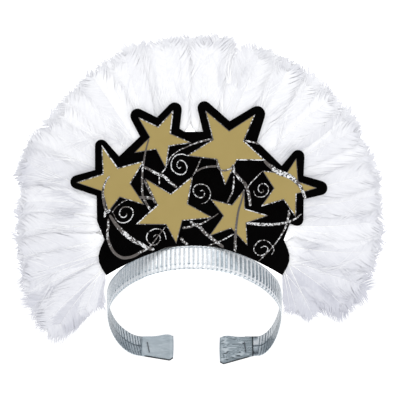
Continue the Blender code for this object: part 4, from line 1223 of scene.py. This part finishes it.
def add_feathers(fan, vane_material, quill_material):
    """Three overlapping layers of feathers, each fanned out between the fan's two ends."""
    first = fan.degrees[0] + END_MARGIN
    last = fan.degrees[-1] - END_MARGIN
    for name, count, half_width, reach, scatter, behind, root_radius, seed in FEATHER_LAYERS:
        bed = FeatherBed(seed, fan)
        draw = bed.random
        for i in range(count):
            share = i / (count - 1.0)
            angle = first + (last - first) * share + draw.uniform(-ANGLE_SCATTER, ANGLE_SCATTER)
            angle = min(max(angle, first), last)
            root_angle = min(max(angle, FAN_RIGHT_EDGE + ROOT_MARGIN), FAN_LEFT_EDGE - ROOT_MARGIN)
            root_angle = root_angle + draw.uniform(-ROOT_MARGIN, ROOT_MARGIN)
            length_share = reach + draw.uniform(-scatter, scatter)
            tip_angle = min(max(angle + draw.normal(0.0, TIP_ANGLE_SCATTER), first), last)
            root = fan_place(root_radius, math.radians(root_angle))
            tip = fan_place(fan.rim(tip_angle) * length_share, math.radians(tip_angle))
            bend = draw.normal(0.0, BEND_SCATTER)
            roll = math.radians(draw.normal(4.0, 2.0))
            vee = draw.uniform(0.02, 0.1)
            curl = draw.normal(0.0, CURL_SCATTER)
            depth = behind + draw.uniform(-LAYER_SCATTER, LAYER_SCATTER)
            # Random lightness of the feather, and how much lighter one side of its vane is painted
            tone_and_side_shade = (draw.normal(0.0, 0.13), draw.normal(0.0, 0.06))
            bed.add(root, tip, bend, half_width * draw.uniform(0.9, 1.1), depth, roll, vee, curl, tone_and_side_shade)
        if name == TUFT_LAYER:
            for root_x, root_z, tip_x, tip_z in END_TUFTS:
                root = (root_x * MM, root_z * MM)
                tip = (tip_x * MM, tip_z * MM)
                depth = behind + draw.uniform(0.0, TUFT_SCATTER)
                tone_and_side_shade = (draw.normal(0.0, 0.2), draw.normal(0.0, 0.05))
                bend = draw.normal(0.0, TUFT_SCATTER)
                bed.add(root, tip, bend, TUFT_HALF_WIDTH, depth, TUFT_ROLL, TUFT_VEE, TUFT_CURL, tone_and_side_shade)
        bed.build(name, vane_material, quill_material)
    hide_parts("feather_fan")


def add_wisps(fan, material):
    """Loose tufts of down that stand out a little from the vanes and lie across them."""
    draw = np.random.default_rng(WISP_SEED)
    t = np.linspace(0.0, 1.0, WISP_STATIONS)
    strands = []
    shades = []
    for _ in range(WISP_TUFTS):
        angle = draw.uniform(fan.degrees[0] + 4.0, fan.degrees[-1] - 4.0)
        radius = WISP_NEAREST + (fan.rim(angle) - WISP_NEAREST) * draw.uniform(0.0, 0.85)
        swing = draw.normal(0.0, WISP_SWING)
        contrast = draw.choice(WISP_CONTRASTS)
        for _ in range(draw.integers(4, 9)):
            heading = math.radians(angle + swing + draw.normal(0.0, 6.0))
            length = draw.uniform(WISP_SHORTEST, WISP_LONGEST) * MM
            curve = draw.normal(0.0, 0.13) * length
            start = radius * np.array([math.cos(math.radians(angle)), math.sin(math.radians(angle))])
            start = start + draw.normal(0.0, WISP_SPREAD, 2)
            way = np.array([math.cos(heading), math.sin(heading)])
            side = np.array([-way[1], way[0]])
            line = start + way * (length * t)[:, None] + side * (curve * t ** 2)[:, None]
            away = np.hypot(line[:, 0], line[:, 1])
            if (away > fan.rim(fan_angle(*line.T)) + WISP_PAST_RIM).any() or not fan.allowed(*line.T).all():
                continue
            half = WISP_HALF_WIDTH * (1.0 - t) ** 0.7 + WISP_TIP_HALF_WIDTH
            y = fan_depth(away, WISP_DEPTH - WISP_LIFT * np.sin(math.pi * t / 2.0))
            section = []
            for across, out in ((1.0, 0.0), (-1.0, 0.0), (0.0, 0.6)):
                place = line + side * (half * across)[:, None] + np.array(FAN_CENTRE)
                depth = np.maximum(y + half * out, CARD_BACK + CARD_CLEARANCE)
                section.append(np.stack([place[:, 0], depth, place[:, 1]], 1))
            strands.append(np.stack(section, 1))
            # Painted shade of the fan there, made randomly lighter or darker for each tuft
            shades.append(np.repeat(np.clip(fan.shade(*line.T) + contrast, 0.0, 1.0), len(section)))
    add_strands("feather_wisps", np.array(strands), material, shade=np.concatenate(shades))


def add_root_tape(material):
    """The cotton tape stitched over the feathers' roots, behind the card."""
    points = []
    for radius, behind in TAPE_SECTION:
        wave = noise_row(TAPE_TURNS * 9.0, radius / MM)
        reach = radius + TAPE_WANDER * noise_row(TAPE_TURNS * 5.0, 3.0 + (radius > TAPE_MIDDLE))
        y = CARD_BACK + behind + TAPE_WAVE * wave * (behind > 1.0 * MM)
        x, z = fan_place(reach, TAPE_TURNS)
        points.append(np.stack([x, y, z], -1))
    add_strands("feather_root_tape", np.stack(points, 1)[None], material, smooth=True)


def add_root_stitches(material):
    """Two rows of stitches through the tape."""
    stitches = []
    for radius in TAPE_SEAMS:
        step = STITCH_PITCH / radius
        for turn in np.arange(TAPE_TURNS[0] + step, TAPE_TURNS[-1] - step, step):
            reach = radius + STITCH_WANDER * noise_row([turn * 40.0], 9.0)[0]
            along = turn + np.linspace(0.0, STITCH_SHARE * step, STITCH_STATIONS)
            drop = TAPE_BACK + STITCH_LIFT - STITCH_SAG * np.linspace(-1.0, 1.0, STITCH_STATIONS) ** 2
            ring = []
            for out, lift in STITCH_SECTION:
                x, z = fan_place(reach + out * MM, along)
                ring.append(np.stack([x, CARD_BACK + drop + lift * MM, z], -1))
            stitches.append(np.stack(ring, 1))
    add_strands("feather_root_stitches", np.array(stitches), material, smooth=True)


# Camera, light and stage

UPRIGHT = math.radians(90.0)
ROOM_LIGHT = 0.7
ROOM_TINT = (0.97, 0.98, 1.0, 1.0)
ROOM_SIZE = 4.0
FLOOR_HEIGHT = -0.3
FLOOR_GLOW = 0.45
WALL_GLOW = 1.0
BOARD_PLACE = (0.0, -1.7, 0.1)
BOARD_WIDTH = 3.0
BOARD_HEIGHT = 1.8
# name, place, what it looks at, size and power
SOFT_LIGHTS = (
    ("key", (-0.2, -1.0, 1.15), (0.0, 0.0, 0.1), 1.3, 6.0),
    ("fill", (0.8, -0.9, -0.15), (0.04, -0.06, 0.0), 0.6, 2.2),
)


def add_camera():
    data = bpy.data.cameras.new("camera")
    data.sensor_width = SENSOR_WIDTH
    data.lens = SENSOR_WIDTH * CAMERA_DISTANCE / (IMAGE_SIDE * PIXEL)
    camera = put("camera", data)
    sideways = (CAMERA_COLUMN - MIDDLE_COLUMN) * PIXEL
    camera.location = (sideways, CARD_FRONT - CAMERA_DISTANCE, MIDDLE_ROW_HEIGHT)
    camera.rotation_euler = (UPRIGHT, 0.0, 0.0)
    bpy.context.scene.camera = camera


def add_soft_light(name, place, target, size, power):
    data = bpy.data.lights.new(name, "AREA")
    data.shape = "SQUARE"
    data.size = size
    data.energy = power
    lamp = put(name, data)
    lamp.location = place
    lamp.rotation_mode = "QUATERNION"
    lamp.rotation_quaternion = (Vector(target) - Vector(place)).to_track_quat("-Z", "Y")


def add_stage_mesh(name, points, faces, material):
    """A mesh that isn't part of the object."""
    mesh = bpy.data.meshes.new(name)
    mesh.from_pydata(points, [], faces)
    mesh.materials.append(material)
    made = put(name, mesh)
    return made


def add_board(name, width, height, material):
    """A flat stage board that lies on its back until it is turned."""
    across, up = width / 2.0, height / 2.0
    corners = [(-across, -up, 0.0), (across, -up, 0.0), (across, up, 0.0), (-across, up, 0.0)]
    return add_stage_mesh(name, corners, [(0, 1, 2, 3)], material)


def add_room(material):
    """White walls all round, seen by the camera alone."""
    points = [(x, y, z) for x in (-ROOM_SIZE, ROOM_SIZE) for y in (-ROOM_SIZE, ROOM_SIZE)
              for z in (FLOOR_HEIGHT - ROOM_SIZE, ROOM_SIZE)]
    faces = [(0, 1, 3, 2), (4, 6, 7, 5), (0, 4, 5, 1), (2, 3, 7, 6), (1, 5, 7, 3), (0, 2, 6, 4)]
    show_only(add_stage_mesh("room", points, faces, material), "camera")


def show_only(piece, kind):
    """Leaves a stage piece visible to one kind of ray."""
    for each in ("camera", "diffuse", "glossy", "transmission", "shadow", "volume_scatter"):
        setattr(piece, "visible_" + each, each == kind)


def add_stage():
    """Soft room light, a white room with a pale floor, and a dark board that only reflections see."""
    scene = bpy.context.scene
    scene.view_settings.view_transform = "Standard"
    world = bpy.data.worlds.new("studio")
    scene.world = world
    world.use_nodes = True
    sky = world.node_tree.nodes["Background"]
    sky.inputs["Color"].default_value = ROOM_TINT
    sky.inputs["Strength"].default_value = ROOM_LIGHT
    pale = Finish("floor_white", (0.9, 0.9, 0.9), 0.9)
    pale.colour(pale.mix(pale.noise(3.0), (0.89, 0.89, 0.89), (0.92, 0.92, 0.92)))
    pale.glow(FLOOR_GLOW)
    floor = add_board("floor", 2.0 * ROOM_SIZE, 2.0 * ROOM_SIZE, pale.material)
    floor.location = (0.0, 0.0, FLOOR_HEIGHT)
    walls = Finish("walls_white", (0.9, 0.9, 0.9), 0.9)
    walls.glow(WALL_GLOW)
    add_room(walls.material)
    dark = Finish("board_dark", (0.05, 0.055, 0.06), 0.9)
    board = add_board("board_front", BOARD_WIDTH, BOARD_HEIGHT, dark.material)
    board.location = BOARD_PLACE
    board.rotation_euler = (UPRIGHT, 0.0, 0.0)
    show_only(board, "glossy")
    for light in SOFT_LIGHTS:
        add_soft_light(*light)


def finish_node(name, material):
    """Gives a node of the frame its material."""
    NODES[name].data.materials.clear()
    NODES[name].data.materials.append(material)


add_camera()
add_stage()

card = black_card()
gold = gold_foil()
silver = glitter()
steel = staple_steel()
smooth_foil = tab_foil()

finish_node("plaque", card)
finish_node("staple_left", steel)
finish_node("staple_right", steel)
outlines = []
for star_name in STAR_EDGE_WIDTH_AND_GLINT:
    finish_node(star_name, gold)
    star_outline = star_corners(star_name)
    outlines.append(star_outline)
    add_star_edge(star_name, star_outline, silver)
for ribbon_order, ribbon in enumerate(RIBBONS):
    add_ribbon(ribbon, outlines, silver, ribbon_order)
Band().build(band_foil())
add_tab("end_tab_left", LEFT_TAB, smooth_foil)
add_tab("end_tab_right", RIGHT_TAB, smooth_foil)
fan_outline = FanReach()
down = feather_down()
add_feathers(fan_outline, down, rachis_quill())
add_wisps(fan_outline, down)
tape = cotton_tape()
add_root_tape(tape)
add_root_stitches(tape)
